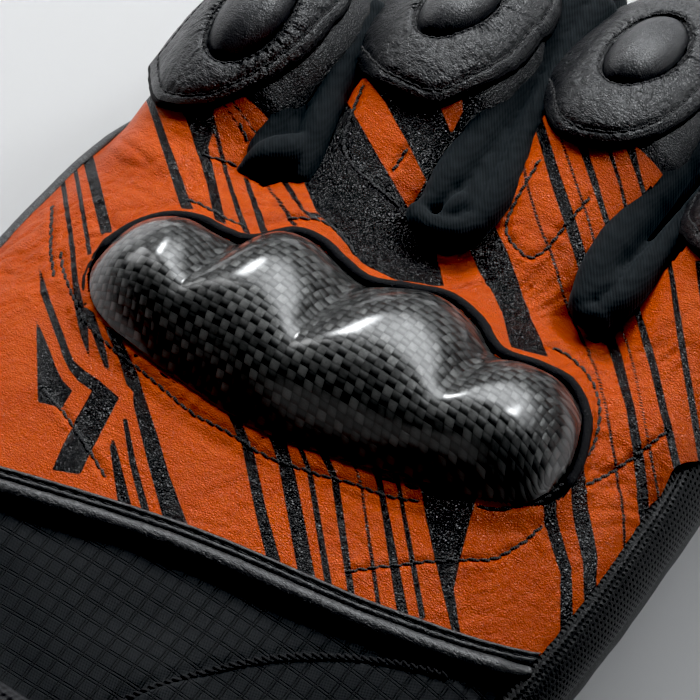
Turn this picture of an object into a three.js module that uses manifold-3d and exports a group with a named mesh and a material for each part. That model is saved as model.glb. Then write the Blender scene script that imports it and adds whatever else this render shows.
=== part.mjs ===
// A left-hand motorcycle gauntlet lying palm down, fingers along +Y, thumb side on +X. Millimetres, +Z up.
import * as THREE from "three";
import { mergeVertices } from "three/addons/utils/BufferGeometryUtils.js";
import Module from "manifold-3d";

const wasm = await Module();
wasm.setup();

// ---- driving dimensions -------------------------------------------------
const WALL = 2.0; // leather with its lining
const GAP = 0.3; // between neighbouring pieces
const CUFF_END = -172; // open end of the gauntlet
const WRIST = -100; // seam between hand and cuff
const FINGER_ROOT = 5; // where the finger tubes start inside the hand
const HAND_FRONT = 25; // end of the hand body, between the fingers
const SPLIT_Y = 22; // past this the back and front leather part along each finger
const TIP_ROUND = 11; // length of the rounding of a fingertip
const FOURCHETTE_HALF = 4.2; // half width of the strip between two fingers
const PATCH_THICK = 4.0; // padded leather patch over each finger joint
const PIPE_R = 1.1; // side piping
const WRIST_PIPE_R = 1.9; // rolled piping over the wrist seam
const SURROUND_R = 1.15; // rolled edge round the knuckle guard
const GUARD_INSET = 3.0; // from the outline in the table to the hard guard inside its rolled edge
const GUARD_WALL = 1.8;
const GUARD_RIM = 1.6; // height of the guard's flat rim over the leather
const BINDING_R = 2.0;
const STRAP = { y0: -97, y1: -74, thick: 2.0, side: 30 };
const HAND_SIDES = 32,
  FINGER_SIDES = 16,
  TUBE_SIDES = 6;

// The hand and cuff, one row for each section: y along the arm, centre x, half width, height, height of the widest point, roundness.
const HAND = [
  { y: -186, xc: -3, half: 60.5, top: 57, mid: 27, n: 2.3 },
  { y: -172, xc: -3, half: 60, top: 56, mid: 26.5, n: 2.3 },
  { y: -140, xc: -3, half: 55.5, top: 50, mid: 24, n: 2.3 },
  { y: -120, xc: -3, half: 49.5, top: 43.5, mid: 21.5, n: 2.35 },
  { y: -100, xc: -3, half: 45, top: 39, mid: 19.5, n: 2.4 },
  { y: -82, xc: -3, half: 46.5, top: 38.5, mid: 19.5, n: 2.4 },
  { y: -60, xc: -3, half: 52, top: 39.3, mid: 19.8, n: 2.5 },
  { y: -38, xc: -3.3, half: 55.8, top: 40.3, mid: 20, n: 2.55 },
  { y: -15, xc: -3.3, half: 57.2, top: 41, mid: 20, n: 2.6 },
  { y: 5, xc: -3.3, half: 57, top: 40.2, mid: 20, n: 2.6 },
  { y: 15, xc: -3.1, half: 56.5, top: 38.5, mid: 20, n: 2.6 },
  { y: 22, xc: -2.9, half: 55.7, top: 35.5, mid: 20, n: 2.6 },
  { y: 30, xc: -2.8, half: 54.6, top: 32, mid: 20, n: 2.5 },
];
// The fingers: centre x at y 15, lean, half width, y of the tip, where the striped leather ends, the far end of the patch, and the middle of its pad.
const FINGERS = [
  { name: "little", x: -44.4, lean: -0.01, half: 13.0, tip: 80, stripeEnd: 27, patchEnd: 60, padX: -45.2, padY: 39 },
  { name: "ring", x: -15.9, lean: -0.06, half: 13.2, tip: 101, stripeEnd: 46, patchEnd: 80, padX: -20.6, padY: 61.5 },
  { name: "middle", x: 12.3, lean: -0.06, half: 13.5, tip: 110, stripeEnd: 53, patchEnd: 88, padX: 6.8, padY: 69.5 },
  { name: "index", x: 40.6, lean: -0.05, half: 13.1, tip: 98, stripeEnd: 47, patchEnd: 81, padX: 36.2, padY: 62.5 },
];
// The near edge of each finger's patch, from the little finger's side to the index's.
const PETALS = {
  little: [{ x: -56.4, y: 31 }, { x: -55.6, y: 25.6 }, { x: -50.4, y: 22 }, { x: -43.9, y: 21.6 }, { x: -38.8, y: 24.6 }, { x: -35, y: 35.5 }, { x: -33.9, y: 44 }],
  ring: [{ x: -33.4, y: 51 }, { x: -33, y: 46.6 }, { x: -27.6, y: 42.6 }, { x: -20, y: 41 }, { x: -11.6, y: 40.8 }, { x: -8.4, y: 46 }, { x: -6.8, y: 54 }],
  middle: [{ x: -5.2, y: 60 }, { x: -3.6, y: 55.6 }, { x: 3.8, y: 49.6 }, { x: 9.2, y: 48.4 }, { x: 14.8, y: 49.6 }, { x: 20, y: 53 }, { x: 21.8, y: 60 }],
  index: [{ x: 25.4, y: 53 }, { x: 27, y: 48 }, { x: 32.6, y: 43.2 }, { x: 38.8, y: 42 }, { x: 45, y: 43.4 }, { x: 50.6, y: 47.6 }, { x: 51.8, y: 54 }],
};
// A finger's shape along its length, from 0 at its root to 1 at its tip: centre height, half height, share of its half width.
const FINGER_SHAPE = [
  { at: 0, z: 20.5, high: 11, wide: 0.86 },
  { at: 0.08, z: 21.0, high: 14.2, wide: 0.98 },
  { at: 0.2, z: 21.8, high: 14.2, wide: 1.0 },
  { at: 0.38, z: 24.6, high: 14.5, wide: 1.0 },
  { at: 0.52, z: 25.6, high: 14.4, wide: 1.0 },
  { at: 0.68, z: 22.4, high: 13.6, wide: 0.97 },
  { at: 0.82, z: 17.0, high: 12.9, wide: 0.92 },
  { at: 0.93, z: 12.6, high: 12.2, wide: 0.87 },
  { at: 1.0, z: 10.4, high: 11.4, wide: 0.83 },
];
// The thumb's centre line with its half width and half height.
const THUMB = [
  { x: 26, y: -80, z: 19, half: 15, high: 16 },
  { x: 40, y: -69, z: 18.5, half: 15, high: 15.5 },
  { x: 55, y: -57, z: 17.5, half: 14.2, high: 14.6 },
  { x: 69, y: -45.5, z: 16, half: 13.4, high: 13.8 },
  { x: 81, y: -33.5, z: 14.2, half: 12.8, high: 13 },
  { x: 90, y: -20, z: 12, half: 12, high: 12.2 },
  { x: 94.5, y: -7, z: 10.4, half: 11, high: 11.4 },
];
// The seam across the back of the hand, from the little finger's side to the index's.
const WRIST_SEAM = [
  { x: -70, y: -55 }, { x: -50, y: -50.8 }, { x: -23, y: -44.6 }, { x: 0, y: -39 },
  { x: 24, y: -34.5 }, { x: 35, y: -31.2 }, { x: 42.5, y: -28 }, { x: 48.5, y: -24 }, { x: 52, y: -20 },
];
// The seam where the thumb's leather meets the wrist panel.
const THUMB_SEAM = [
  { x: 56, y: -22.5 }, { x: 46, y: -33 }, { x: 38, y: -38.6 }, { x: 29.5, y: -43 },
  { x: 21.3, y: -49 }, { x: 14.7, y: -57 }, { x: 9.5, y: -68 }, { x: 7, y: -82 }, { x: 6, y: -94 },
];
// The knuckle guard, one row for each station across the hand: rear edge, front edge, height of the dome over the rim.
const GUARD = [
  { x: -41.6, rear: -8.6, front: -5.0, rise: 0.4 },
  { x: -40.2, rear: -12.6, front: -0.6, rise: 3.0 },
  { x: -37, rear: -16.6, front: 3.8, rise: 7.4 },
  { x: -32, rear: -19.2, front: 6.2, rise: 9.6 },
  { x: -26.5, rear: -20.4, front: 6.4, rise: 8.0 },
  { x: -23, rear: -20.9, front: 7.4, rise: 5.6 },
  { x: -19, rear: -21.3, front: 12.4, rise: 8.6 },
  { x: -14, rear: -21.7, front: 13.5, rise: 11.0 },
  { x: -8.5, rear: -22.1, front: 12.1, rise: 9.8 },
  { x: -4, rear: -22.1, front: 11.5, rise: 6.2 },
  { x: 1, rear: -21.6, front: 14.0, rise: 8.6 },
  { x: 7, rear: -20.2, front: 16.7, rise: 11.2 },
  { x: 13.5, rear: -18.6, front: 15.6, rise: 9.6 },
  { x: 18.8, rear: -16.9, front: 12.8, rise: 6.4 },
  { x: 24.4, rear: -15.0, front: 14.4, rise: 8.8 },
  { x: 30, rear: -12.9, front: 15.0, rise: 9.8 },
  { x: 35.6, rear: -9.4, front: 11.2, rise: 7.0 },
  { x: 38.4, rear: -6.6, front: 5.6, rise: 3.0 },
  { x: 39.6, rear: -2.9, front: 1.4, rise: 0.4 },
];

// ---- tables -------------------------------------------------------------
// Value of one column of a table at t, by a smooth curve through the rows.
function column(rows, by, key, t) {
  const n = rows.length;
  if (t <= rows[0][by]) return rows[0][key];
  if (t >= rows[n - 1][by]) return rows[n - 1][key];
  let i = 0;
  while (rows[i + 1][by] < t) i++;
  const slope = (k) => {
    const a = rows[Math.max(0, k - 1)],
      b = rows[Math.min(n - 1, k + 1)];
    return (b[key] - a[key]) / (b[by] - a[by]);
  };
  const a = rows[i],
    b = rows[i + 1],
    d = b[by] - a[by],
    u = (t - a[by]) / d;
  return (
    (2 * u ** 3 - 3 * u ** 2 + 1) * a[key] +
    (u ** 3 - 2 * u ** 2 + u) * d * slope(i) +
    (-2 * u ** 3 + 3 * u ** 2) * b[key] +
    (u ** 3 - u ** 2) * d * slope(i + 1)
  );
}
const power = (v, p) => Math.sign(v) * Math.abs(v) ** p;

// ---- solids from rings --------------------------------------------------
function solid(geometry) {
  for (const name of Object.keys(geometry.attributes))
    if (name !== "position") geometry.deleteAttribute(name);
  const g = mergeVertices(geometry, 1e-4);
  return new wasm.Manifold(
    new wasm.Mesh({
      numProp: 3,
      vertProperties: new Float32Array(g.attributes.position.array),
      triVerts: new Uint32Array(g.index.array),
    }),
  );
}
// A closed body through rings of equally many points. Open lofts get a fan at each end, closed ones join up.
function loft(rings, closed = false) {
  const n = rings[0].length,
    pos = [],
    index = [];
  for (const ring of rings) for (const p of ring) pos.push(p.x, p.y, p.z);
  const last = closed ? rings.length : rings.length - 1;
  for (let j = 0; j < last; j++)
    for (let i = 0; i < n; i++) {
      const k = (j + 1) % rings.length,
        a = j * n + i,
        b = j * n + ((i + 1) % n),
        c = k * n + ((i + 1) % n),
        d = k * n + i;
      index.push(a, b, c, a, c, d);
    }
  if (!closed)
    for (const [j, turn] of [[0, true], [rings.length - 1, false]]) {
      const c = rings[j]
        .reduce((s, p) => s.add(p), new THREE.Vector3())
        .divideScalar(n);
      const m = pos.length / 3;
      pos.push(c.x, c.y, c.z);
      for (let i = 0; i < n; i++) {
        const a = j * n + i,
          b = j * n + ((i + 1) % n);
        if (turn) index.push(m, b, a);
        else index.push(m, a, b);
      }
    }
  const g = new THREE.BufferGeometry();
  g.setAttribute("position", new THREE.Float32BufferAttribute(pos, 3));
  g.setIndex(index);
  const made = solid(g);
  if (made.volume() >= 0) return made;
  for (let i = 0; i < index.length; i += 3)
    [index[i + 1], index[i + 2]] = [index[i + 2], index[i + 1]];
  const f = new THREE.BufferGeometry();
  f.setAttribute("position", new THREE.Float32BufferAttribute(pos, 3));
  f.setIndex(index);
  return solid(f);
}
// A plan outline pulled up from z0 to z1.
function prism(outline, z0, z1) {
  const shape = new THREE.Shape(outline.map(([x, y]) => new THREE.Vector2(x, y)));
  const g = new THREE.ExtrudeGeometry(shape, { depth: z1 - z0, bevelEnabled: false });
  g.translate(0, 0, z0);
  return solid(g);
}
function box(x0, x1, y0, y1, z0, z1) {
  const g = new THREE.BoxGeometry(x1 - x0, y1 - y0, z1 - z0);
  g.translate((x0 + x1) / 2, (y0 + y1) / 2, (z0 + z1) / 2);
  return solid(g);
}

// ---- the hand, the fingers and the thumb, each at an offset from the outer skin ----
const handAt = (y) =>
  Object.fromEntries(["xc", "half", "top", "mid", "n"].map((k) => [k, column(HAND, "y", k, y)]));
const SINK = 4; // how far the round underside would reach under the table, which makes the palm's flat
function handRing(y, off) {
  const h = handAt(y);
  return Array.from({ length: HAND_SIDES }, (_, i) => {
    const t = (2 * Math.PI * i) / HAND_SIDES,
      c = Math.cos(t),
      s = Math.sin(t);
    const z =
      s >= 0
        ? h.mid + (h.top - h.mid + off) * power(s, 2 / h.n)
        : Math.max(-off, h.mid - (h.mid + SINK + off) * power(-s, 2 / h.n));
    return new THREE.Vector3(h.xc + (h.half + off) * power(c, 2 / h.n), y, z);
  });
}
const HAND_STATIONS = [-172, -158, -140, -120, -100, -82, -60, -38, -15, 5, 15, 22];
function handSolid(off, y0 = CUFF_END) {
  const ys = [y0, ...HAND_STATIONS.filter((y) => y > y0 + 1)];
  const rings = ys.map((y) => handRing(y, off));
  rings.push(handRing(HAND_FRONT + off, off));
  return loft(rings);
}
// Height of the back of the hand at a plan point.
function skin(x, y) {
  const h = handAt(y),
    u = Math.min(1, Math.abs((x - h.xc) / h.half));
  return h.mid + (h.top - h.mid) * (1 - u ** h.n) ** (1 / h.n);
}
// How much longer a vertical step has to be than one square to the skin.
const tilt = (x, y) => Math.hypot(1, (skin(x + 1, y) - skin(x - 1, y)) / 2);
const fingerX = (f, y) => f.x + f.lean * (y - 15);
function fingerAt(f, y) {
  const at = Math.min(1, (y - FINGER_ROOT) / (f.tip - FINGER_ROOT));
  const u = Math.max(0, (y - (f.tip - TIP_ROUND)) / TIP_ROUND);
  const round = Math.sqrt(Math.max(0, 1 - u ** 2.2));
  return {
    x: fingerX(f, y),
    z: column(FINGER_SHAPE, "at", "z", at),
    half: f.half * column(FINGER_SHAPE, "at", "wide", at),
    high: column(FINGER_SHAPE, "at", "high", at),
    round,
  };
}
function ovalRing(c, across, half, high, off, sides) {
  return Array.from({ length: sides }, (_, i) => {
    const t = (2 * Math.PI * i) / sides,
      u = (half + off) * power(Math.cos(t), 2 / 2.3),
      w = (high + off) * power(Math.sin(t), 2 / 2.3);
    return new THREE.Vector3(
      c.x + across.x * u,
      c.y + across.y * u,
      Math.max(-off, c.z + w),
    );
  });
}
const ACROSS = new THREE.Vector2(1, 0);
const FINGER_STATIONS = [0, 0.08, 0.22, 0.36, 0.48, 0.6, 0.72, 0.84];
function fingerSolid(f, off, start = 0) {
  const length = f.tip - FINGER_ROOT;
  const ys = FINGER_STATIONS.filter((a) => a >= start).map((a) => FINGER_ROOT + a * length);
  for (const u of [0, 0.45, 0.75, 0.92, 0.99]) ys.push(f.tip - TIP_ROUND + u * TIP_ROUND);
  ys.sort((a, b) => a - b);
  const rings = ys.map((y) => {
    const s = fingerAt(f, y);
    const k = s.round,
      shift = off * (y > f.tip - TIP_ROUND ? (y - f.tip + TIP_ROUND) / TIP_ROUND : 0);
    return ovalRing(
      new THREE.Vector3(s.x, y + shift, s.z),
      ACROSS,
      s.half * k,
      s.high * k,
      off * Math.max(k, 0.15),
      FINGER_SIDES,
    );
  });
  return loft(rings);
}
function thumbSolid(off) {
  const curve = new THREE.CatmullRomCurve3(THUMB.map((r) => new THREE.Vector3(r.x, r.y, r.z)));
  const total = THUMB.length - 1,
    rings = [];
  const stations = [0, 1, 2, 3, 4, 4.7, 5.2, 5.6, 5.85, 5.98];
  for (const s of stations) {
    const p = curve.getPoint(s / total),
      d = curve.getTangent(Math.min(0.999, s / total));
    const along = new THREE.Vector2(d.x, d.y).normalize(),
      across = new THREE.Vector2(along.y, -along.x);
    const i = Math.min(total - 1, Math.floor(s)),
      u = s - i;
    const half = THUMB[i].half * (1 - u) + THUMB[i + 1].half * u,
      high = THUMB[i].high * (1 - u) + THUMB[i + 1].high * u;
    const v = Math.max(0, (s - 4.9) / 1.1),
      k = Math.sqrt(Math.max(0, 1 - v ** 2.4));
    const shift = off * v;
    rings.push(
      ovalRing(
        new THREE.Vector3(p.x + along.x * shift, p.y + along.y * shift, p.z),
        across,
        half * k,
        high * k,
        off * Math.max(k, 0.15),
        FINGER_SIDES,
      ),
    );
  }
  return loft(rings);
}

// ---- the hollow glove ---------------------------------------------------
const above = (z) => box(-200, 200, -300, 200, z, 200);
let outer = handSolid(0).add(thumbSolid(0));
let inner = handSolid(-WALL, CUFF_END - 14).add(thumbSolid(-WALL));
for (const f of FINGERS) {
  outer = outer.add(fingerSolid(f, 0));
  inner = inner.add(fingerSolid(f, -WALL));
}
outer = outer.intersect(above(0));
inner = inner.intersect(above(WALL));
const shell = outer.subtract(inner);

// ---- the seams that part it into pieces ---------------------------------
// A body over (or under) the line where back and front leather meet, between two side lines.
function half(ys, left, right, split, upper, inset) {
  return loft(
    ys.map((y) => {
      const a = left(y) + inset,
        b = right(y) - inset,
        [za, zb] = split(y);
      return upper
        ? [new THREE.Vector3(a, y, za + inset), new THREE.Vector3(b, y, zb + inset), new THREE.Vector3(b, y, 120), new THREE.Vector3(a, y, 120)]
        : [new THREE.Vector3(a, y, -20), new THREE.Vector3(b, y, -20), new THREE.Vector3(b, y, zb - inset), new THREE.Vector3(a, y, za - inset)];
    }),
  );
}
const G = GAP / 2;
const LEFT_SPLIT = 26.5,
  RIGHT_SPLIT = 30.3,
  BAND = 8.4; // height of the perforated side band
const splitSlope = (RIGHT_SPLIT - LEFT_SPLIT) / 110; // the side seams are 110 apart
const FAR = 140;
const handSplit = () => [LEFT_SPLIT - splitSlope * (FAR - 60), RIGHT_SPLIT + splitSlope * (FAR - 50)];
const bandSplit = () => handSplit().map((z) => z - BAND);
const CLEAR = 64; // between the index finger's side and the tip of the thumb
const handHalf = (upper, y0, y1) => half([y0, y1], () => -FAR, () => FAR, handSplit, upper, G);
const lanes = [
  () => -FAR,
  ...FINGERS.slice(0, -1).map((f, i) => {
    const g = FINGERS[i + 1];
    return (y) => (fingerX(f, y) + f.half + fingerX(g, y) - g.half) / 2;
  }),
  () => FAR,
];
function laneHalf(i, upper, y0, y1) {
  const f = FINGERS[i];
  const ys = [y0];
  for (let y = y0 + 8; y < y1 - 4; y += 8) ys.push(y);
  ys.push(y1);
  const split = (y) => {
    const z = column(FINGER_SHAPE, "at", "z", (y - FINGER_ROOT) / (f.tip - FINGER_ROOT));
    return [z, z];
  };
  return half(ys, lanes[i], lanes[i + 1], split, upper, G);
}
// The strip between two neighbouring fingers, which becomes a fourchette.
function strip(i, grow) {
  const f = FINGERS[i],
    g = FINGERS[i + 1],
    mid = lanes[i + 1],
    y1 = Math.min(f.tip, g.tip) - 14 + grow,
    y0 = 18 - grow,
    w = FOURCHETTE_HALF + grow;
  return prism([[mid(y0) - w * 0.8, y0], [mid(y0) + w * 0.8, y0], [mid(26) + w, 26], [mid(y1) + w, y1], [mid(y1) - w, y1], [mid(26) - w, 26]], -20, 120);
}
let strips = strip(0, G);
for (let i = 1; i < FINGERS.length - 1; i++) strips = strips.add(strip(i, G));

const seamLine = (seam, dy) => seam.map((r) => [r.x, r.y + dy]);
const pieces = new Map();
const put = (name, s) => pieces.set(name, s);

// The striped back of the hand with the finger bases.
let backCut = handHalf(true, -60, SPLIT_Y).intersect(
  prism([...seamLine(WRIST_SEAM, G), [CLEAR, -20 + G], [CLEAR, 60], [-FAR, 60], [-FAR, -52 + G]], -20, 120),
);
FINGERS.forEach((f, i) => {
  backCut = backCut.add(laneHalf(i, true, SPLIT_Y, f.stripeEnd - G));
});
put("back_panel", shell.intersect(backCut).subtract(strips));

// The thumb's own leather reaches over the back of the hand as far as its seam, so the thumb and that part are one plan area.
const thumbArea = (grow) =>
  prism(
    [
      [FAR, 20], [CLEAR, 20], [CLEAR, -20.3 + grow], [53, -20.3 + grow], [50, -26 + grow * 0.6],
      ...THUMB_SEAM.slice(1).map((r) => [r.x - grow, r.y + grow * 0.6]),
      [THUMB_SEAM.at(-1).x - grow, WRIST + G], [FAR, WRIST + G],
    ],
    -20,
    120,
  );
put(
  "wrist_panel",
  shell
    .intersect(handHalf(true, WRIST + G, -10))
    .intersect(
      prism([[-FAR, WRIST + G], [FAR, WRIST + G], [FAR, -20.3 - G], [52, -20 - G], ...seamLine(WRIST_SEAM, -G).reverse(), [-FAR, -52 - G]], -20, 120),
    )
    .subtract(thumbArea(G)),
);
// Below the side seam the thumb starts at the side of the palm.
const thumbSide = (grow) =>
  prism([[43 - grow, -86 - grow], [FAR, -86 - grow], [FAR, 20], [CLEAR, 20], [CLEAR, -21 + grow], [53 - grow, -21 + grow], [47 - grow, -30 + grow]], -20, 120);
const thumbSpan = (split, upper) => half([-125, 20], () => -FAR, () => FAR, split, upper, G);
const thumbLine = () => [16.5, 16.5];
put(
  "thumb_back",
  shell.intersect(
    thumbArea(-G)
      .intersect(thumbSpan(handSplit, true))
      .add(thumbSide(-G).intersect(thumbSpan(thumbLine, true)).intersect(thumbArea(-G).add(thumbSpan(handSplit, false)))),
  ),
);
put("thumb_front", shell.intersect(thumbSide(-G)).intersect(thumbSpan(thumbLine, false)));
// The band under the index finger's side seam.
const sideArea = (grow) => box(40 - grow, CLEAR, -20.4 - grow, SPLIT_Y - GAP, -10, 120).intersect(half([-30, SPLIT_Y], () => -FAR, () => FAR, bandSplit, true, -grow));
put("index_side_band", shell.intersect(handHalf(false, -30, HAND_FRONT)).intersect(sideArea(-G)));
put(
  "palm_panel",
  shell
    .intersect(handHalf(false, WRIST + G, SPLIT_Y - GAP))
    .subtract(thumbSide(G))
    .subtract(sideArea(G))
    .subtract(strips),
);
for (let i = 0; i < FINGERS.length - 1; i++)
  put("fourchette_" + FINGERS[i].name + "_" + FINGERS[i + 1].name, shell.intersect(strip(i, -G)));
FINGERS.forEach((f, i) => {
  put("finger_back_" + f.name, shell.intersect(laneHalf(i, true, f.stripeEnd + G, 130)).subtract(strips));
  put("finger_front_" + f.name, shell.intersect(laneHalf(i, false, SPLIT_Y + G, 130)).subtract(strips));
});
put("cuff_back", shell.intersect(handHalf(true, CUFF_END - 5, WRIST - G)));
put("cuff_palm", shell.intersect(handHalf(false, CUFF_END - 5, WRIST - G)));

// ---- padded patches over the finger joints ------------------------------
const PAD_WIDE = 5.0,
  PAD_LONG = 9.4;
let fingersUnder = handSolid(GAP, -60);
for (const f of FINGERS) fingersUnder = fingersUnder.add(fingerSolid(f, GAP));
FINGERS.forEach((f) => {
  const near = PETALS[f.name].map((r) => [r.x, r.y]),
    [x0, x1] = [near[0][0], near.at(-1)[0]],
    cx = (x0 + x1) / 2,
    w = (x1 - x0) / 2,
    end = f.patchEnd;
  const outline = [...near, [cx + w, end - 7], [cx + 0.7 * w, end - 1.5], [cx, end], [cx - 0.7 * w, end - 1.5], [cx - w, end - 7]];
  const over = fingerSolid(f, GAP + PATCH_THICK).intersect(prism(outline, 29, 120));
  const g = new THREE.SphereGeometry(1, 14, 8);
  g.rotateX(Math.PI / 2);
  g.scale(PAD_WIDE, PAD_LONG, 6.8);
  const s = fingerAt(f, f.padY);
  g.translate(f.padX, f.padY, s.z + s.high + 1.2);
  const hole = prism(
    Array.from({ length: 14 }, (_, k) => {
      const t = (2 * Math.PI * k) / 14,
        grow = GAP + 0.15;
      return [f.padX + (PAD_WIDE + grow) * Math.cos(t), f.padY + (PAD_LONG + grow) * Math.sin(t)];
    }),
    20,
    120,
  );
  put("knuckle_patch_" + f.name, over.subtract(fingersUnder).subtract(hole));
  put("knuckle_pad_" + f.name, solid(g).subtract(fingersUnder));
});

// ---- the knuckle guard --------------------------------------------------
const GUARD_ACROSS = 34,
  GUARD_ALONG = 9;
const GUARD_MID = (GUARD[0].x + GUARD.at(-1).x) / 2,
  GUARD_REACH = (GUARD.at(-1).x - GUARD[0].x) / 2;
// Rear and front edge at x, a distance inside the outline of the table.
function guardEdge(x, inset = 0) {
  const u = (x - GUARD_MID) / (GUARD_REACH - inset),
    at = GUARD_MID + u * GUARD_REACH,
    in_ = inset * (1 - Math.abs(u) ** 5);
  return [column(GUARD, "x", "rear", at) + in_, column(GUARD, "x", "front", at) - in_];
}
// Share of the dome's height from the rear edge (0) to the front edge (1).
const domeProfile = (v) => (v < 0.66 ? Math.sin((v / 0.66) * (Math.PI / 2)) ** 1.25 : Math.max(0, Math.cos(((v - 0.66) / 0.28) * (Math.PI / 2))) ** 0.75);
function guardTop(x, y, v) {
  return skin(x, y) + GUARD_RIM + column(GUARD, "x", "rise", x) * (v >= 0.94 ? 0 : domeProfile(v));
}
{
  const rings = [];
  for (let j = 0; j <= GUARD_ACROSS; j++) {
    const x = GUARD_MID - (GUARD_REACH - GUARD_INSET) * Math.cos((Math.PI * (j + 0.6)) / (GUARD_ACROSS + 1.2));
    const [r, f] = guardEdge(x, GUARD_INSET);
    const top = [],
      low = [];
    for (let i = 0; i <= GUARD_ALONG; i++) {
      const v = i / GUARD_ALONG,
        y = r + (f - r) * v,
        z = guardTop(x, y, v);
      top.push(new THREE.Vector3(x, y, z));
      low.push(new THREE.Vector3(x, y, Math.max(skin(x, y) + GAP + 0.25, z - GUARD_WALL)));
    }
    rings.push([...top, ...low.reverse()]);
  }
  put("knuckle_guard", loft(rings));
}
// A round bead along a line, closed or with flat ends.
function bead(points, radius, closed, sides = TUBE_SIDES) {
  const up = new THREE.Vector3(0, 0, 1),
    n = points.length;
  const rings = points.map((p, i) => {
    const a = points[closed ? (i + n - 1) % n : Math.max(0, i - 1)],
      b = points[closed ? (i + 1) % n : Math.min(n - 1, i + 1)];
    const t = new THREE.Vector3().subVectors(b, a).normalize();
    const u = new THREE.Vector3().crossVectors(t, up).normalize(),
      w = new THREE.Vector3().crossVectors(u, t);
    return Array.from({ length: sides }, (_, k) => {
      const q = (2 * Math.PI * (k + 0.5)) / sides;
      return p
        .clone()
        .addScaledVector(u, radius * Math.cos(q))
        .addScaledVector(w, radius * Math.sin(q));
    });
  });
  return loft(rings, closed);
}
const guardOutline = (inset, steps) => {
  const list = [];
  for (const side of [0, 1])
    for (let j = side; j <= steps - side; j++) {
      const x = GUARD_MID - (side ? -1 : 1) * (GUARD_REACH - inset) * Math.cos((Math.PI * j) / steps);
      list.push(new THREE.Vector2(x, guardEdge(x, inset)[side]));
    }
  return list;
};
put(
  "guard_surround",
  bead(
    guardOutline(SURROUND_R, 22).map((p) => new THREE.Vector3(p.x, p.y, skin(p.x, p.y) + (SURROUND_R + GAP) * tilt(p.x, p.y))),
    SURROUND_R,
    true,
  ),
);

// ---- piping, binding and strap ------------------------------------------
const along = (a, b, n) => Array.from({ length: n + 1 }, (_, i) => a + ((b - a) * i) / n);
{
  const points = along(-55, 46, 22).map((x) => {
    const y = column(WRIST_SEAM, "x", "y", x) - 3.4;
    return new THREE.Vector3(x, y, skin(x, y) + (WRIST_PIPE_R + 0.4) * tilt(x, y));
  });
  put("wrist_piping", bead(points, WRIST_PIPE_R, false));
}
const sidePoint = (y) => {
  const h = handAt(y),
    z = LEFT_SPLIT - 0.2,
    u = (z - h.mid) / (h.top - h.mid);
  let x = h.half * (1 - Math.max(0, u) ** h.n) ** (1 / h.n);
  if (y > FINGER_ROOT) {
    const s = fingerAt(FINGERS[0], y),
      reach = s.half * (1 - Math.abs((z - s.z) / s.high) ** 2.3) ** (1 / 2.3);
    x = Math.max(x, reach + h.xc - s.x);
  }
  return new THREE.Vector3(h.xc - x - PIPE_R - 0.35, y, z);
};
put("side_piping_little", bead(along(-50, 18, 14).map(sidePoint), PIPE_R, false));
{
  const ring = handRing(CUFF_END - BINDING_R - GAP, -WALL / 2);
  const rings = ring.map((p, i) => {
    const a = ring[(i + ring.length - 1) % ring.length],
      b = ring[(i + 1) % ring.length];
    const t = new THREE.Vector3().subVectors(b, a).normalize(),
      u = new THREE.Vector3(0, 1, 0),
      w = new THREE.Vector3().crossVectors(t, u);
    return Array.from({ length: TUBE_SIDES }, (_, k) => {
      const q = (2 * Math.PI * (k + 0.5)) / TUBE_SIDES,
        s = p.clone().addScaledVector(u, BINDING_R * Math.cos(q)).addScaledVector(w, BINDING_R * Math.sin(q));
      s.z = Math.max(0, s.z);
      return s;
    });
  });
  put("cuff_binding", loft(rings, true));
}
put(
  "wrist_strap",
  handSolid(GAP + STRAP.thick, STRAP.y0 - 20)
    .intersect(box(-FAR, 30, STRAP.y0, STRAP.y1, 8, 120))
    .subtract(handSolid(GAP, STRAP.y0 - 20))
    .subtract(thumbSolid(GAP)),
);

// ---- the assembly -------------------------------------------------------
const LOOKS = {
  stripe: { color: 0xc8500f, roughness: 0.5, metalness: 0 },
  leather: { color: 0x17181a, roughness: 0.5, metalness: 0 },
  carbon: { color: 0x101214, roughness: 0.15, metalness: 0.1 },
  fabric: { color: 0x101214, roughness: 0.85, metalness: 0 },
};
const lookOf = (name) =>
  name === "back_panel" ? "stripe"
  : name === "knuckle_guard" ? "carbon"
  : /fourchette|wrist_panel|cuff_back|strap/.test(name) ? "fabric"
  : "leather";

let low = [Infinity, Infinity, Infinity],
  high = [-Infinity, -Infinity, -Infinity];
for (const s of pieces.values()) {
  const b = s.boundingBox();
  low = low.map((v, i) => Math.min(v, b.min[i]));
  high = high.map((v, i) => Math.max(v, b.max[i]));
}
const group = new THREE.Group();
group.position.set(-(low[0] + high[0]) / 2, -(low[1] + high[1]) / 2, -low[2]);
for (const [name, s] of pieces) {
  const m = s.getMesh(),
    g = new THREE.BufferGeometry(),
    pos = new Float32Array(m.numVert * 3);
  for (let i = 0; i < m.numVert; i++) pos.set(m.vertProperties.subarray(i * m.numProp, i * m.numProp + 3), i * 3);
  g.setAttribute("position", new THREE.BufferAttribute(pos, 3));
  g.setIndex(new THREE.BufferAttribute(m.triVerts, 1));
  g.computeVertexNormals();
  const mesh = new THREE.Mesh(g, new THREE.MeshStandardMaterial(LOOKS[lookOf(name)]));
  mesh.name = name;
  group.add(mesh);
}

export default group;
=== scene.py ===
"""A left-hand motorcycle gauntlet, palm down on a pale floor. Works in the CAD design frame in millimetres (fingers +Y, thumb side +X, table at z 0) and writes metres in the row frame."""
import math

import bpy
import numpy as np
from mathutils import Matrix, Vector


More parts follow.
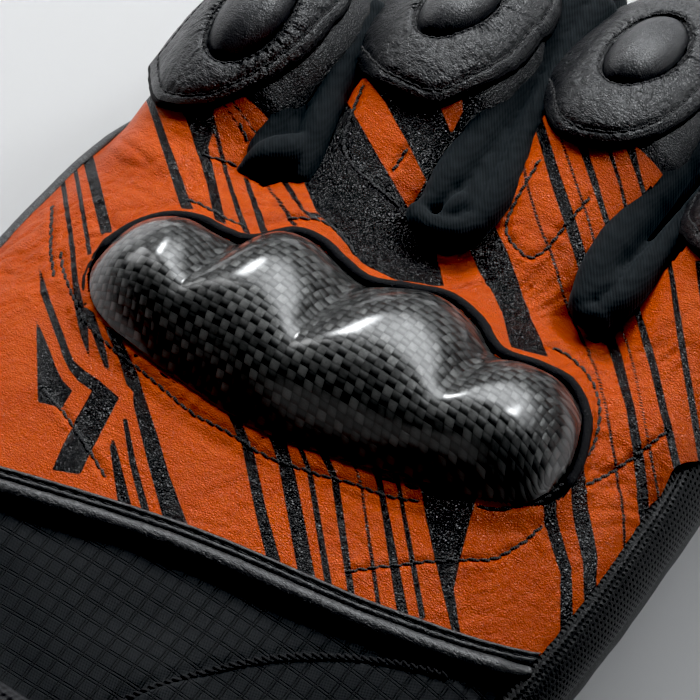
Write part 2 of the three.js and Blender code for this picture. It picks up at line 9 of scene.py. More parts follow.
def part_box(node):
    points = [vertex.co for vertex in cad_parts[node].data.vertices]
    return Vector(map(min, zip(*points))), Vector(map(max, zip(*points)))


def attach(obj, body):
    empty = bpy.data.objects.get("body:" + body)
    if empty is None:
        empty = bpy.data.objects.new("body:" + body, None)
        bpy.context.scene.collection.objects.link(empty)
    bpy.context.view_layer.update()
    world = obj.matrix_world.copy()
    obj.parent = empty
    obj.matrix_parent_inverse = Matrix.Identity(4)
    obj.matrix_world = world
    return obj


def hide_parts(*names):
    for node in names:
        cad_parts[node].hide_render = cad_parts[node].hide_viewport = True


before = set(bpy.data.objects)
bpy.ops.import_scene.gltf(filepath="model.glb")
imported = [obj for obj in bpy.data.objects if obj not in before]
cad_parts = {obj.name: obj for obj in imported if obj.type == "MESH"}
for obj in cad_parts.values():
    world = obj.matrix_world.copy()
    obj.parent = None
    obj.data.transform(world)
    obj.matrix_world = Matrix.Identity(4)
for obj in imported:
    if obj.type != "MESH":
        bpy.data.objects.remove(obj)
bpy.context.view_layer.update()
NODES = set(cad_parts)

# ---- where the design frame sits in the row frame ----------------------
CUFF_END = -172.0
_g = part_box("knuckle_guard")
_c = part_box("cuff_back")
SHIFT = np.array([(_g[0][0] + _g[1][0]) * 500 + 1.0, _c[0][1] * 1000 - CUFF_END, 0.0])


def metres(p):
    return (np.asarray(p, float) + SHIFT) / 1000.0


# ---- the photograph's camera -------------------------------------------
AZ, EL, DIST, AIM, FPX = math.radians(35), math.radians(57), 560.0, np.array([0, 0, 38.0]), 3780.0
BACK = np.array([math.sin(AZ) * math.cos(EL), -math.cos(AZ) * math.cos(EL), math.sin(EL)])
RIGHT = np.array([math.cos(AZ), math.sin(AZ), 0.0])
UP = np.cross(RIGHT, -BACK)
EYE = AIM + BACK * DIST


def project(p):
    """Pixel of the 700 by 700 picture for each point of the design frame."""
    q = np.asarray(p, float) - EYE
    d = q @ -BACK
    return np.stack([350 + FPX * (q @ RIGHT) / d, 350 - FPX * (q @ UP) / d], -1)


def on_height(px, z):
    """Point of the design frame at height z that shows at a pixel."""
    px = np.atleast_2d(np.asarray(px, float))
    ray = -BACK + ((px[:, :1] - 350) * RIGHT - (px[:, 1:] - 350) * UP) / FPX
    t = (np.broadcast_to(z, (len(px),)) - EYE[2]) / ray[:, 2]
    return EYE + ray * t[:, None]


def on_surface(px, height, lift=0.0, start=38.0):
    """Point of the surface z = height(x, y) that shows at a pixel."""
    z = np.full(len(np.atleast_2d(px)), start)
    for _ in range(14):
        p = on_height(px, z)
        z = 0.4 * z + 0.6 * (height(p[:, 0], p[:, 1]) + lift)
    p = on_height(px, z)
    return p


# ---- tables, the same as the solids' -----------------------------------
def curve(rows):
    """Smooth function through (t, value) rows, level outside them."""
    r = np.array(rows, float)
    t, v = r[:, 0], r[:, 1]
    m = np.empty(len(t))
    m[1:-1] = (v[2:] - v[:-2]) / (t[2:] - t[:-2])
    m[0], m[-1] = (v[1] - v[0]) / (t[1] - t[0]), (v[-1] - v[-2]) / (t[-1] - t[-2])

    def f(s):
        s = np.clip(np.asarray(s, float), t[0], t[-1])
        i = np.clip(np.searchsorted(t, s, side="right") - 1, 0, len(t) - 2)
        d = t[i + 1] - t[i]
        u = (s - t[i]) / d
        return (2 * u**3 - 3 * u**2 + 1) * v[i] + (u**3 - 2 * u**2 + u) * d * m[i] + (-2 * u**3 + 3 * u**2) * v[i + 1] + (u**3 - u**2) * d * m[i + 1]

    return f


HAND = [  # y, centre x, half width, top, height of the widest point, roundness
    (-186, -3, 60.5, 57, 27, 2.3), (-172, -3, 60, 56, 26.5, 2.3), (-140, -3, 55.5, 50, 24, 2.3), (-120, -3, 49.5, 43.5, 21.5, 2.35),
    (-100, -3, 45, 39, 19.5, 2.4), (-82, -3, 46.5, 38.5, 19.5, 2.4), (-60, -3, 52, 39.3, 19.8, 2.5), (-38, -3.3, 55.8, 40.3, 20, 2.55),
    (-15, -3.3, 57.2, 41, 20, 2.6), (5, -3.3, 57, 40.2, 20, 2.6), (15, -3.1, 56.5, 38.5, 20, 2.6), (22, -2.9, 55.7, 35.5, 20, 2.6), (30, -2.8, 54.6, 32, 20, 2.5),
]
H_XC, H_HALF, H_TOP, H_MID, H_N = [curve([(r[0], r[k]) for r in HAND]) for k in range(1, 6)]
FINGERS = [  # name, centre x at y 15, lean, half width, tip, end of the striped leather, patch end, pad x, pad y
    ("little", -44.4, -0.01, 13.0, 80, 27, 60, -45.2, 39),
    ("ring", -15.9, -0.06, 13.2, 101, 46, 80, -20.6, 61.5),
    ("middle", 12.3, -0.06, 13.5, 110, 53, 88, 6.8, 69.5),
    ("index", 40.6, -0.05, 13.1, 98, 47, 81, 36.2, 62.5),
]
SHAPE = [(0, 20.5, 11, 0.86), (0.08, 21.0, 14.2, 0.98), (0.2, 21.8, 14.2, 1.0), (0.38, 24.6, 14.5, 1.0), (0.52, 25.6, 14.4, 1.0),
         (0.68, 22.4, 13.6, 0.97), (0.82, 17.0, 12.9, 0.92), (0.93, 12.6, 12.2, 0.87), (1.0, 10.4, 11.4, 0.83)]
S_Z, S_HIGH, S_WIDE = [curve([(r[0], r[k]) for r in SHAPE]) for k in (1, 2, 3)]
ROOT, TIP_ROUND = 5.0, 11.0
THUMB = [(26, -80, 19, 15, 16), (40, -69, 18.5, 15, 15.5), (55, -57, 17.5, 14.2, 14.6), (69, -45.5, 16, 13.4, 13.8), (81, -33.5, 14.2, 12.8, 13),
         (90, -20, 12, 12, 12.2), (94.5, -7, 10.4, 11, 11.4)]
SEAM = curve([(-70, -55), (-50, -50.8), (-23, -44.6), (0, -39), (24, -34.5), (35, -31.2), (42.5, -28), (48.5, -24), (52, -20)])
THUMB_SEAM = [(56, -22.5), (46, -33), (38, -38.6), (29.5, -43), (21.3, -49), (14.7, -57), (9.5, -68), (7, -82), (6, -94)]
GUARD = [  # x, rear edge, front edge
    (-41.6, -8.6, -5.0), (-40.2, -12.6, -0.6), (-37, -16.6, 3.8), (-32, -19.2, 6.2), (-26.5, -20.4, 6.4), (-23, -20.9, 7.4), (-19, -21.3, 12.4),
    (-14, -21.7, 13.5), (-8.5, -22.1, 12.1), (-4, -22.1, 11.5), (1, -21.6, 14.0), (7, -20.2, 16.7), (13.5, -18.6, 15.6), (18.8, -16.9, 12.8),
    (24.4, -15.0, 14.4), (30, -12.9, 15.0), (35.6, -9.4, 11.2), (38.4, -6.6, 5.6), (39.6, -2.9, 1.4),
]
G_REAR, G_FRONT = [curve([(r[0], r[k]) for r in GUARD]) for k in (1, 2)]
G_MID, G_REACH = (GUARD[0][0] + GUARD[-1][0]) / 2, (GUARD[-1][0] - GUARD[0][0]) / 2
PETALS = {
    "little": [(-56.4, 31), (-55.6, 25.6), (-50.4, 22), (-43.9, 21.6), (-38.8, 24.6), (-35, 35.5), (-33.9, 44)],
    "ring": [(-33.4, 51), (-33, 46.6), (-27.6, 42.6), (-20, 41), (-11.6, 40.8), (-8.4, 46), (-6.8, 54)],
    "middle": [(-5.2, 60), (-3.6, 55.6), (3.8, 49.6), (9.2, 48.4), (14.8, 49.6), (20, 53), (21.8, 60)],
    "index": [(25.4, 53), (27, 48), (32.6, 43.2), (38.8, 42), (45, 43.4), (50.6, 47.6), (51.8, 54)],
}
LEFT_SPLIT, RIGHT_SPLIT, BAND = 26.5, 30.3, 8.4


def split_z(x):
    """Height of the line between back and palm leather."""
    return LEFT_SPLIT + (RIGHT_SPLIT - LEFT_SPLIT) * (x + 60) / 110


# ---- small numeric tools -------------------------------------------------
def smooth(a, b, v):
    t = np.clip((np.asarray(v, float) - a) / (b - a), 0, 1)
    return t * t * (3 - 2 * t)


def smax(a, b, k):
    h = np.clip(0.5 + 0.5 * (a - b) / k, 0, 1)
    return b * (1 - h) + a * h + k * h * (1 - h)


_rng = np.random.RandomState(7)
_perm = np.tile(_rng.permutation(256), 3)
_grad = _rng.normal(size=(256, 3))
_grad /= np.linalg.norm(_grad, axis=1, keepdims=True)


def noise3(p):
    """Gradient noise, about -0.7 to 0.7."""
    p = np.asarray(p, float)
    i = np.floor(p).astype(int)
    f = p - i
    u = f * f * f * (f * (f * 6 - 15) + 10)
    i &= 255
    out = 0
    for dx in (0, 1):
        for dy in (0, 1):
            for dz in (0, 1):
                h = _perm[_perm[_perm[i[..., 0] + dx] + i[..., 1] + dy] + i[..., 2] + dz]
                g = _grad[h]
                d = f - np.array([dx, dy, dz])
                w = (u[..., 0] if dx else 1 - u[..., 0]) * (u[..., 1] if dy else 1 - u[..., 1]) * (u[..., 2] if dz else 1 - u[..., 2])
                out = out + w * (g * d).sum(-1)
    return out


def noise2(x, y, s, seed=0.0):
    return noise3(np.stack([np.asarray(x) / s, np.asarray(y) / s, np.full(np.shape(x), seed * 7.31 + 0.5)], -1))


def ridged(x, y, s, seed=0.0):
    """Creases: 0 at a crease line, 1 away from it."""
    return np.clip(np.abs(noise2(x, y, s, seed)) * 3.2, 0, 1)


def chaikin(pts, n=2, closed=False):
    p = np.asarray(pts, float)
    for _ in range(n):
        a, b = (p, np.roll(p, -1, 0)) if closed else (p[:-1], p[1:])
        q = np.stack([0.75 * a + 0.25 * b, 0.25 * a + 0.75 * b], 1).reshape(-1, p.shape[1])
        p = q if closed else np.concatenate([p[:1], q, p[-1:]])
    return p


def resample(pts, step, closed=False):
    p = np.asarray(pts, float)
    if closed:
        p = np.concatenate([p, p[:1]])
    s = np.concatenate([[0], np.cumsum(np.linalg.norm(np.diff(p, axis=0), axis=1))])
    n = max(2, int(round(s[-1] / step)))
    t = np.linspace(0, s[-1], n + 1)
    if closed:
        t = t[:-1]
    return np.stack([np.interp(t, s, p[:, k]) for k in range(p.shape[1])], 1)


def line_distance(p, line, closed=False):
    """Distance of 2-D points to a polyline, and how far along it the nearest point is."""
    line = np.asarray(line, float)
    if closed:
        line = np.concatenate([line, line[:1]])
    best, at, s0 = np.full(len(p), 1e9), np.zeros(len(p)), 0.0
    for a, b in zip(line[:-1], line[1:]):
        d = b - a
        length = np.hypot(*d) + 1e-12
        t = np.clip(((p - a) @ d) / length**2, 0, 1)
        r = np.hypot(*(p - a - t[:, None] * d).T)
        near = r < best
        best[near], at[near] = r[near], s0 + t[near] * length
        s0 += length
    return best, at


def inside(p, poly):
    x, y = p[:, 0], p[:, 1]
    poly = np.asarray(poly, float)
    c = np.zeros(len(p), bool)
    j = len(poly) - 1
    for i in range(len(poly)):
        (xi, yi), (xj, yj) = poly[i], poly[j]
        if yi != yj:
            c ^= ((yi > y) != (yj > y)) & (x < (xj - xi) * (y - yi) / (yj - yi) + xi)
        j = i
    return c


# ---- the glove's surfaces ------------------------------------------------
def skin(x, y):
    u = np.minimum(1, np.abs((x - H_XC(y)) / H_HALF(y)))
    n = H_N(y)
    return H_MID(y) + (H_TOP(y) - H_MID(y)) * (1 - u**n) ** (1 / n)


def finger_x(f, y):
    return f[1] + f[2] * (y - 15)


def finger_top(f, x, y):
    """Height of a finger's top at a plan point, far below it beside the finger."""
    at = np.clip((y - ROOT) / (f[4] - ROOT), 0, 1)
    half, high, zc = f[3] * S_WIDE(at), S_HIGH(at), S_Z(at)
    u = np.abs(x - finger_x(f, y)) / half
    k = np.sqrt(np.clip(1 - np.clip((y - (f[4] - TIP_ROUND)) / TIP_ROUND, 0, 1) ** 2.2, 0.001, 1))
    top = zc + high * k * np.clip(1 - (u / k) ** 2.3, 0, 1) ** (1 / 2.3)
    return np.where(u / k < 1, top, zc - 20 * (u / k - 1))


def back_height(x, y):
    """The whole back of the glove, hand and fingers together."""
    z = skin(x, y) - 0.05 * np.clip(y - 20, 0, 40) ** 2
    for f in FINGERS:
        z = smax(z, np.where(y > ROOT - 4, finger_top(f, x, y) - 6 * np.clip(1 - (y - ROOT + 4) / 12, 0, 1) ** 2, -50), 3.0)
    return z


# ---- meshes --------------------------------------------------------------
def new_mesh(name, verts, faces, mats=(), face_mat=None, shade=True, attrs=None):
    """A mesh object from design-frame vertices in millimetres."""
    me = bpy.data.meshes.new(name)
    v = metres(verts).astype(np.float32)
    me.vertices.add(len(v))
    me.vertices.foreach_set("co", v.ravel())
    sizes = np.array([len(f) for f in faces], np.int32) if isinstance(faces, list) else np.full(len(faces), faces.shape[1], np.int32)
    loops = np.concatenate([np.asarray(f, np.int32) for f in faces]) if isinstance(faces, list) else faces.astype(np.int32).ravel()
    me.loops.add(len(loops))
    me.loops.foreach_set("vertex_index", loops)
    me.polygons.add(len(sizes))
    me.polygons.foreach_set("loop_start", np.concatenate([[0], np.cumsum(sizes)[:-1]]).astype(np.int32))
    me.polygons.foreach_set("loop_total", sizes)
    me.update(calc_edges=True)
    me.validate()
    me.polygons.foreach_set("use_smooth", np.full(len(me.polygons), shade))
    for m in mats:
        me.materials.append(m)
    if face_mat is not None:
        me.polygons.foreach_set("material_index", np.asarray(face_mat, np.int32))
    for key, val in (attrs or {}).items():
        val = np.asarray(val, np.float32)
        if val.ndim == 1:
            me.attributes.new(key, "FLOAT", "POINT").data.foreach_set("value", val)
        else:
            me.attributes.new(key, "FLOAT_VECTOR", "POINT").data.foreach_set("vector", val.ravel())
    ob = bpy.data.objects.new(name, me)
    bpy.context.scene.collection.objects.link(ob)
    return ob


def grid_faces(n, m, wrap_n=False, wrap_m=False):
    i = np.arange(n if wrap_n else n - 1)
    j = np.arange(m if wrap_m else m - 1)
    I, J = np.meshgrid(i, j, indexing="ij")
    a, b, c, d = I * m + J, ((I + 1) % n) * m + J, ((I + 1) % n) * m + (J + 1) % m, I * m + (J + 1) % m
    return np.stack([a, b, c, d], -1).reshape(-1, 4)


def compact(verts, faces, *others):
    used = np.unique(faces)
    back = np.full(len(verts), -1)
    back[used] = np.arange(len(used))
    return verts[used], back[faces], *[o[used] for o in others]


def thicken(ob, mm, offset=-1.0, rim=True):
    m = ob.modifiers.new("wall", "SOLIDIFY")
    m.thickness, m.offset, m.use_rim = mm / 1000.0, offset, rim
    m.use_even_offset = False
    return ob


def tube(path, radius, sides=10, closed=False, squash=1.0, up=(0, 0, 1), caps=True):
    """Vertices and faces of a bead along a path. radius may vary, squash flattens it along up."""
    p = np.asarray(path, float)
    n = len(p)
    r = np.broadcast_to(np.asarray(radius, float), (n,))
    if closed:
        t = np.roll(p, -1, 0) - np.roll(p, 1, 0)
    else:
        t = np.gradient(p, axis=0)
    t /= np.linalg.norm(t, axis=1, keepdims=True) + 1e-12
    upv = np.broadcast_to(np.asarray(up, float), p.shape)
    u = np.cross(t, upv)
    u /= np.linalg.norm(u, axis=1, keepdims=True) + 1e-12
    w = np.cross(u, t)
    a = np.arange(sides) * 2 * np.pi / sides
    v = p[:, None] + r[:, None, None] * (np.cos(a)[None, :, None] * u[:, None] + squash * np.sin(a)[None, :, None] * w[:, None])
    faces = grid_faces(n, sides, wrap_n=closed, wrap_m=True)
    v = v.reshape(-1, 3)
    if not closed and caps:
        v = np.concatenate([v, p[:1], p[-1:]])
        k = np.arange(sides)
        f0 = np.stack([np.full(sides, n * sides), (k + 1) % sides, k, k], 1)
        b = (n - 1) * sides
        f1 = np.stack([np.full(sides, n * sides + 1), b + k, b + (k + 1) % sides, b + k], 1)
        caps_f = [[int(q[0]), int(q[1]), int(q[2])] for q in f0] + [[int(q[0]), int(q[1]), int(q[2])] for q in f1]
        return v, [list(map(int, q)) for q in faces] + caps_f
    return v, faces


def join(parts):
    """One vertex and face list out of several."""
    vs, fs, n = [], [], 0
    for v, f in parts:
        vs.append(v)
        fs += [[int(i) + n for i in q] for q in f]
        n += len(v)
    return np.concatenate(vs), fs


# ---- materials -----------------------------------------------------------
class Nodes:
    """Short way to write a node tree."""

    def __init__(self, name):
        self.mat = bpy.data.materials.new(name)
        self.mat.use_nodes = True
        self.t = self.mat.node_tree
        self.bsdf = self.t.nodes["Principled BSDF"]
        self.coord = self.t.nodes.new("ShaderNodeTexCoord").outputs["Object"]

    def link(self, a, b):
        self.t.links.new(a, b)

    def put(self, socket, value):
        if isinstance(value, bpy.types.NodeSocket):
            self.link(value, socket)
        else:
            socket.default_value = value

    def set(self, **kw):
        for k, v in kw.items():
            self.put(self.bsdf.inputs[k.replace("_", " ")], v)
        return self

    def math(self, op, a, b=0.0, c=0.0, clamp=False):
        n = self.t.nodes.new("ShaderNodeMath")
        n.operation, n.use_clamp = op, clamp
        for s, v in zip(n.inputs, (a, b, c)):
            self.put(s, v)
        return n.outputs[0]

    def vmath(self, op, a, b=(0, 0, 0), scale=1.0):
        n = self.t.nodes.new("ShaderNodeVectorMath")
        n.operation = op
        self.put(n.inputs[0], a)
        if op == "SCALE":
            self.put(n.inputs["Scale"], scale)
        else:
            self.put(n.inputs[1], b)
        return n.outputs[0]

    def scaled(self, x, y, z, rot=(0, 0, 0)):
        n = self.t.nodes.new("ShaderNodeMapping")
        self.link(self.coord, n.inputs["Vector"])
        n.inputs["Scale"].default_value = (x, y, z)
        n.inputs["Rotation"].default_value = rot
        return n.outputs[0]

    def noise(self, scale, detail=3.0, rough=0.55, vec=None, dist=0.0):
        n = self.t.nodes.new("ShaderNodeTexNoise")
        self.link(vec or self.coord, n.inputs["Vector"])
        n.inputs["Scale"].default_value = scale
        n.inputs["Detail"].default_value = detail
        n.inputs["Roughness"].default_value = rough
        n.inputs["Distortion"].default_value = dist
        return n.outputs["Fac"]

    def voronoi(self, scale, feature="F1", vec=None, rand=1.0):
        n = self.t.nodes.new("ShaderNodeTexVoronoi")
        n.feature = feature
        self.link(vec or self.coord, n.inputs["Vector"])
        n.inputs["Scale"].default_value = scale
        n.inputs["Randomness"].default_value = rand
        return n.outputs["Distance"]

    def ramp(self, fac, stops):
        n = self.t.nodes.new("ShaderNodeValToRGB")
        self.put(n.inputs["Fac"], fac)
        e = n.color_ramp.elements
        while len(e) < len(stops):
            e.new(0.5)
        for el, (pos, col) in zip(e, stops):
            el.position = pos
            el.color = col if isinstance(col, tuple) else (col, col, col, 1)
        return n.outputs["Color"]

    def mix(self, fac, a, b):
        n = self.t.nodes.new("ShaderNodeMix")
        n.data_type = "RGBA"
        self.put(n.inputs[0], fac)
        self.put(n.inputs[6], a)
        self.put(n.inputs[7], b)
        return n.outputs[2]

    def lerp(self, fac, a, b):
        n = self.t.nodes.new("ShaderNodeMix")
        n.data_type = "FLOAT"
        self.put(n.inputs[0], fac)
        self.put(n.inputs[2], a)
        self.put(n.inputs[3], b)
        return n.outputs[0]

    def attr(self, name, vector=False):
        n = self.t.nodes.new("ShaderNodeAttribute")
        n.attribute_name = name
        return n.outputs["Vector" if vector else "Fac"]

    def xyz(self, vec):
        n = self.t.nodes.new("ShaderNodeSeparateXYZ")
        self.link(vec, n.inputs[0])
        return n.outputs

    def vec(self, x, y, z=0.0):
        n = self.t.nodes.new("ShaderNodeCombineXYZ")
        for s, v in zip(n.inputs, (x, y, z)):
            self.put(s, v)
        return n.outputs[0]

    def bump(self, height, dist_mm, strength=1.0, normal=None):
        n = self.t.nodes.new("ShaderNodeBump")
        n.inputs["Strength"].default_value = strength
        n.inputs["Distance"].default_value = dist_mm / 1000.0
        self.link(height, n.inputs["Height"])
        if normal is not None:
            self.link(normal, n.inputs["Normal"])
        return n.outputs["Normal"]


def leather_grain(m, cell=0.42, deep=0.05, wrinkle=0.05):
    """Fine pebble grain over long faint creases."""
    warp = m.vmath("ADD", m.coord, m.vmath("SCALE", m.vec(m.noise(900, 2), m.noise(970, 2), m.noise(890, 2)), scale=0.0006))
    cells = m.voronoi(1000 / cell, "DISTANCE_TO_EDGE", warp)
    pebble = m.ramp(cells, [(0.0, 0.0), (0.10, 0.55), (0.34, 1.0)])
    fine = m.noise(1000 / 0.17, 2, 0.6)
    long1 = m.noise(1.0, 4, 0.65, m.scaled(170, 560, 300, (0, 0, 0.75)), 0.4)
    long2 = m.noise(1.0, 3, 0.6, m.scaled(620, 240, 300, (0, 0, 0.35)), 0.4)
    ridge = m.math("ABSOLUTE", m.math("SUBTRACT", long1, 0.5))
    crease = m.math("MULTIPLY", ridge, 9.0, clamp=True)
    n = m.bump(m.math("ADD", m.math("MULTIPLY", crease, 0.5), m.math("ADD", m.noise(330, 4, 0.6), m.math("MULTIPLY", long2, 0.8))), wrinkle, 0.9)
    n = m.bump(m.math("MULTIPLY_ADD", fine, 0.35, pebble), deep, 1.0, n)
    return n, pebble, crease


def leather(name, colour=(0.016, 0.017, 0.019), rough=0.36, cell=0.42, deep=0.05, wrinkle=0.06, spec=0.5):
    m = Nodes(name)
    n, pebble, crease = leather_grain(m, cell, deep, wrinkle)
    wear = m.noise(160, 4, 0.65)
    # painted shade: the colour falls to 0.3 of the leather's own in the crevices between the grain's pebbles (mixed in
    # below)
    crevice_shade = tuple(c * 0.3 for c in colour) + (1,)
    light = tuple(min(1, c * 1.5) for c in colour) + (1,)
    col = m.mix(m.ramp(wear, [(0.3, 0.0), (0.75, 1.0)]), tuple(colour) + (1,), light)
    col = m.mix(pebble, crevice_shade, col)
    m.set(Base_Color=col, Roughness=m.lerp(wear, rough - 0.07, rough + 0.1), Normal=n)
    m.bsdf.inputs["Specular IOR Level"].default_value = spec
    return m.mat


def striped_leather(name):
    m = Nodes(name)
    n, pebble, crease = leather_grain(m, 0.40, 0.085, 0.12)
    s = m.attr("stripe")
    edge = m.math("ADD", s, m.math("MULTIPLY", m.math("SUBTRACT", m.noise(2400, 2), 0.5), 0.10))
    soft = m.math("MULTIPLY_ADD", edge, -7.0, 0.5, clamp=True)
    n2 = m.bump(pebble, 0.13, 1.0, n)
    nmix = m.t.nodes.new("ShaderNodeMix")
    nmix.data_type = "VECTOR"
    m.link(soft, nmix.inputs[0])
    m.link(n, nmix.inputs[4])
    m.link(n2, nmix.inputs[5])
    tone = m.noise(110, 5, 0.6)
    fade = m.noise(900, 3, 0.6)
    orange = m.mix(m.ramp(tone, [(0.28, 0.0), (0.72, 1.0)]), (0.42, 0.048, 0.0005, 1), (0.56, 0.075, 0.0010, 1))
    orange = m.mix(m.ramp(fade, [(0.40, 0.0), (0.8, 0.30)]), orange, (0.70, 0.145, 0.006, 1))
    # painted shade: the orange darkens in the crevices between the grain's pebbles
    orange = m.mix(m.ramp(pebble, [(0.0, 0.35), (0.5, 0.0)]), orange, (0.22, 0.014, 0.0004, 1))
    # painted shade and highlight: the black is near-black in the grain's crevices and lighter grey on the pebbles' tops
    blk = m.mix(pebble, (0.002, 0.002, 0.0024, 1), (0.0115, 0.012, 0.0138, 1))
    m.set(Base_Color=m.mix(soft, orange, blk), Roughness=m.lerp(soft, m.lerp(tone, 0.27, 0.36), 0.26), Normal=nmix.outputs[1])
    m.put(m.bsdf.inputs["Specular IOR Level"], m.lerp(soft, 0.30, 0.95))
    return m.mat


def knit(name, colour=(0.0080, 0.0100, 0.0114), pitch=0.42):
    """Fine ribbed stretch knit."""
    m = Nodes(name)
    uv = m.xyz(m.attr("uvw", True))
    ang = 2 * math.pi / pitch
    rib = m.math("SINE", m.math("MULTIPLY", m.math("ADD", uv[0], m.math("MULTIPLY", m.noise(300, 2), 0.25)), ang))
    row = m.math("SINE", m.math("MULTIPLY", uv[1], ang * 0.8))
    h = m.math("MULTIPLY_ADD", rib, 0.5, m.math("MULTIPLY", row, 0.28))
    h2 = m.math("ADD", h, m.math("MULTIPLY", m.noise(5200, 2), 0.5))
    n = m.bump(h2, 0.035, 0.8)
    # painted highlight and shade: the knit is lighter on the crests of its ribs and darker in the grooves, following
    # the bump's height
    col = m.mix(m.math("MULTIPLY_ADD", h, 0.5, 0.5, clamp=True), tuple(c * 0.35 for c in colour) + (1,), tuple(c * 1.7 for c in colour) + (1,))
    m.set(Base_Color=col, Roughness=0.9, Normal=n)
    m.bsdf.inputs["Specular IOR Level"].default_value = 0.25
    m.bsdf.inputs["Sheen Weight"].default_value = 0.07
    m.bsdf.inputs["Sheen Roughness"].default_value = 0.45
    m.bsdf.inputs["Sheen Tint"].default_value = (0.55, 0.68, 0.75, 1)
    return m.mat


def ripstop(name):
    """Fine woven fabric with a grid of paired threads."""
    m = Nodes(name)
    uv = m.xyz(m.attr("uvw", True))

    def pair(c, pitch):
        f = m.math("MULTIPLY", m.math("FRACT", m.math("DIVIDE", c, pitch)), pitch)
        d = m.math("ABSOLUTE", m.math("SUBTRACT", m.math("ABSOLUTE", m.math("SUBTRACT", f, pitch / 2)), 0.22))
        return m.math("MULTIPLY_ADD", d, -11.0, 1.35, clamp=True)

    g = m.math("MAXIMUM", pair(uv[0], 2.5), pair(uv[1], 2.5))
    weave = m.math("MULTIPLY", m.math("SINE", m.math("MULTIPLY", uv[0], 2 * math.pi / 0.3)), m.math("SINE", m.math("MULTIPLY", uv[1], 2 * math.pi / 0.3)))
    h = m.math("SUBTRACT", m.math("MULTIPLY", weave, 0.35), g)
    n = m.bump(h, 0.09, 0.9)
    n = m.bump(m.noise(3800, 2), 0.03, 0.5, n)
    grain = m.noise(4200, 2, 0.7)
    # painted shade: the grid of paired threads, sunk as grooves in the bump, is painted near-black; the grain noise
    # over it is random tone
    col = m.mix(m.math("MULTIPLY", m.math("SUBTRACT", 1.0, g), m.math("MULTIPLY_ADD", grain, 0.8, 0.55)), (0.0008, 0.0009, 0.0011, 1), (0.0090, 0.0105, 0.0120, 1))
    m.set(Base_Color=col, Roughness=0.66, Normal=n)
    m.bsdf.inputs["Specular IOR Level"].default_value = 0.28
    m.bsdf.inputs["Sheen Weight"].default_value = 0.04
    m.bsdf.inputs["Sheen Roughness"].default_value = 0.4
    return m.mat


def carbon(name, cell=1.38):
    """Plain weave of flat tows under a thick clear coat."""
    m = Nodes(name)
    uv = m.xyz(m.attr("uvw", True))
    wob = m.math("MULTIPLY", m.math("SUBTRACT", m.noise(190, 2), 0.5), 0.5)
    u = m.math("DIVIDE", m.math("ADD", uv[0], wob), cell)
    v = m.math("DIVIDE", m.math("ADD", uv[1], wob), cell)
    fu, fv = m.math("FRACT", u), m.math("FRACT", v)
    iu, iv = m.math("FLOOR", u), m.math("FLOOR", v)
    par = m.math("FLOORED_MODULO", m.math("ADD", iu, iv), 2.0)
    # height of the tow on top of each cell: it dives at the cell's two ends and is rounded across
    du, dv = m.math("SINE", m.math("MULTIPLY", fu, math.pi)), m.math("SINE", m.math("MULTIPLY", fv, math.pi))
    across = m.lerp(par, m.math("POWER", du, 0.35), m.math("POWER", dv, 0.35))
    along = m.lerp(par, dv, du)
    h = m.math("MULTIPLY_ADD", along, 0.75, m.math("MULTIPLY", across, 0.25))
    rnd = m.t.nodes.new("ShaderNodeTexWhiteNoise")
    rnd.noise_dimensions = "2D"
    m.link(m.vec(iu, iv), rnd.inputs["Vector"])
    fib_u = m.noise(1.0, 2, 0.6, m.vec(m.math("MULTIPLY", uv[0], 1.2), m.math("MULTIPLY", uv[1], 16.0)))
    fib_v = m.noise(1.0, 2, 0.6, m.vec(m.math("MULTIPLY", uv[0], 16.0), m.math("MULTIPLY", uv[1], 1.2)))
    fib = m.lerp(par, fib_v, fib_u)
    n = m.bump(m.math("MULTIPLY_ADD", fib, 0.16, h), 0.17, 1.0)
    # painted reflection: one direction of tows is painted lighter than the other, at a random strength per cell and
    # streaked along the fibres, standing in for the tows' glint under the coat
    tow_sheen = m.math("MULTIPLY", m.lerp(par, 0.42, 1.0), m.math("MULTIPLY_ADD", m.math("POWER", rnd.outputs["Value"], 1.3), 0.8, 0.34))
    tow_sheen = m.math("MULTIPLY", tow_sheen, m.math("MULTIPLY_ADD", fib, 1.5, 0.2))
    # painted shade: the painted glint fades to dark where each tow dives at its cell's ends
    gapd = m.math("MULTIPLY", m.math("POWER", du, 0.2), m.math("POWER", dv, 0.2))
    col = m.mix(m.math("MULTIPLY", tow_sheen, gapd), (0.0012, 0.0012, 0.0013, 1), (0.125, 0.127, 0.124, 1))
    m.set(Base_Color=col, Roughness=0.38, Normal=n)
    m.bsdf.inputs["Metallic"].default_value = 0.35
    m.bsdf.inputs["Specular IOR Level"].default_value = 0.5
    m.bsdf.inputs["Coat Weight"].default_value = 1.0
    m.bsdf.inputs["Coat Roughness"].default_value = 0.10
    m.bsdf.inputs["Coat IOR"].default_value = 1.52
    m.put(m.bsdf.inputs["Coat Normal"], m.bump(m.noise(700, 2), 0.006, 0.35))
    return m.mat


def fuzz(name, colour=(0.006, 0.006, 0.007)):
    m = Nodes(name)
    n = m.bump(m.noise(3300, 3, 0.7), 0.16, 1.0)
    speck = m.ramp(m.noise(2600, 2, 0.7), [(0.62, 0.0), (0.78, 1.0)])
    m.set(Base_Color=m.mix(speck, tuple(colour) + (1,), (0.05, 0.052, 0.055, 1)), Roughness=0.8, Normal=n)
    m.bsdf.inputs["Specular IOR Level"].default_value = 0.3
    return m.mat


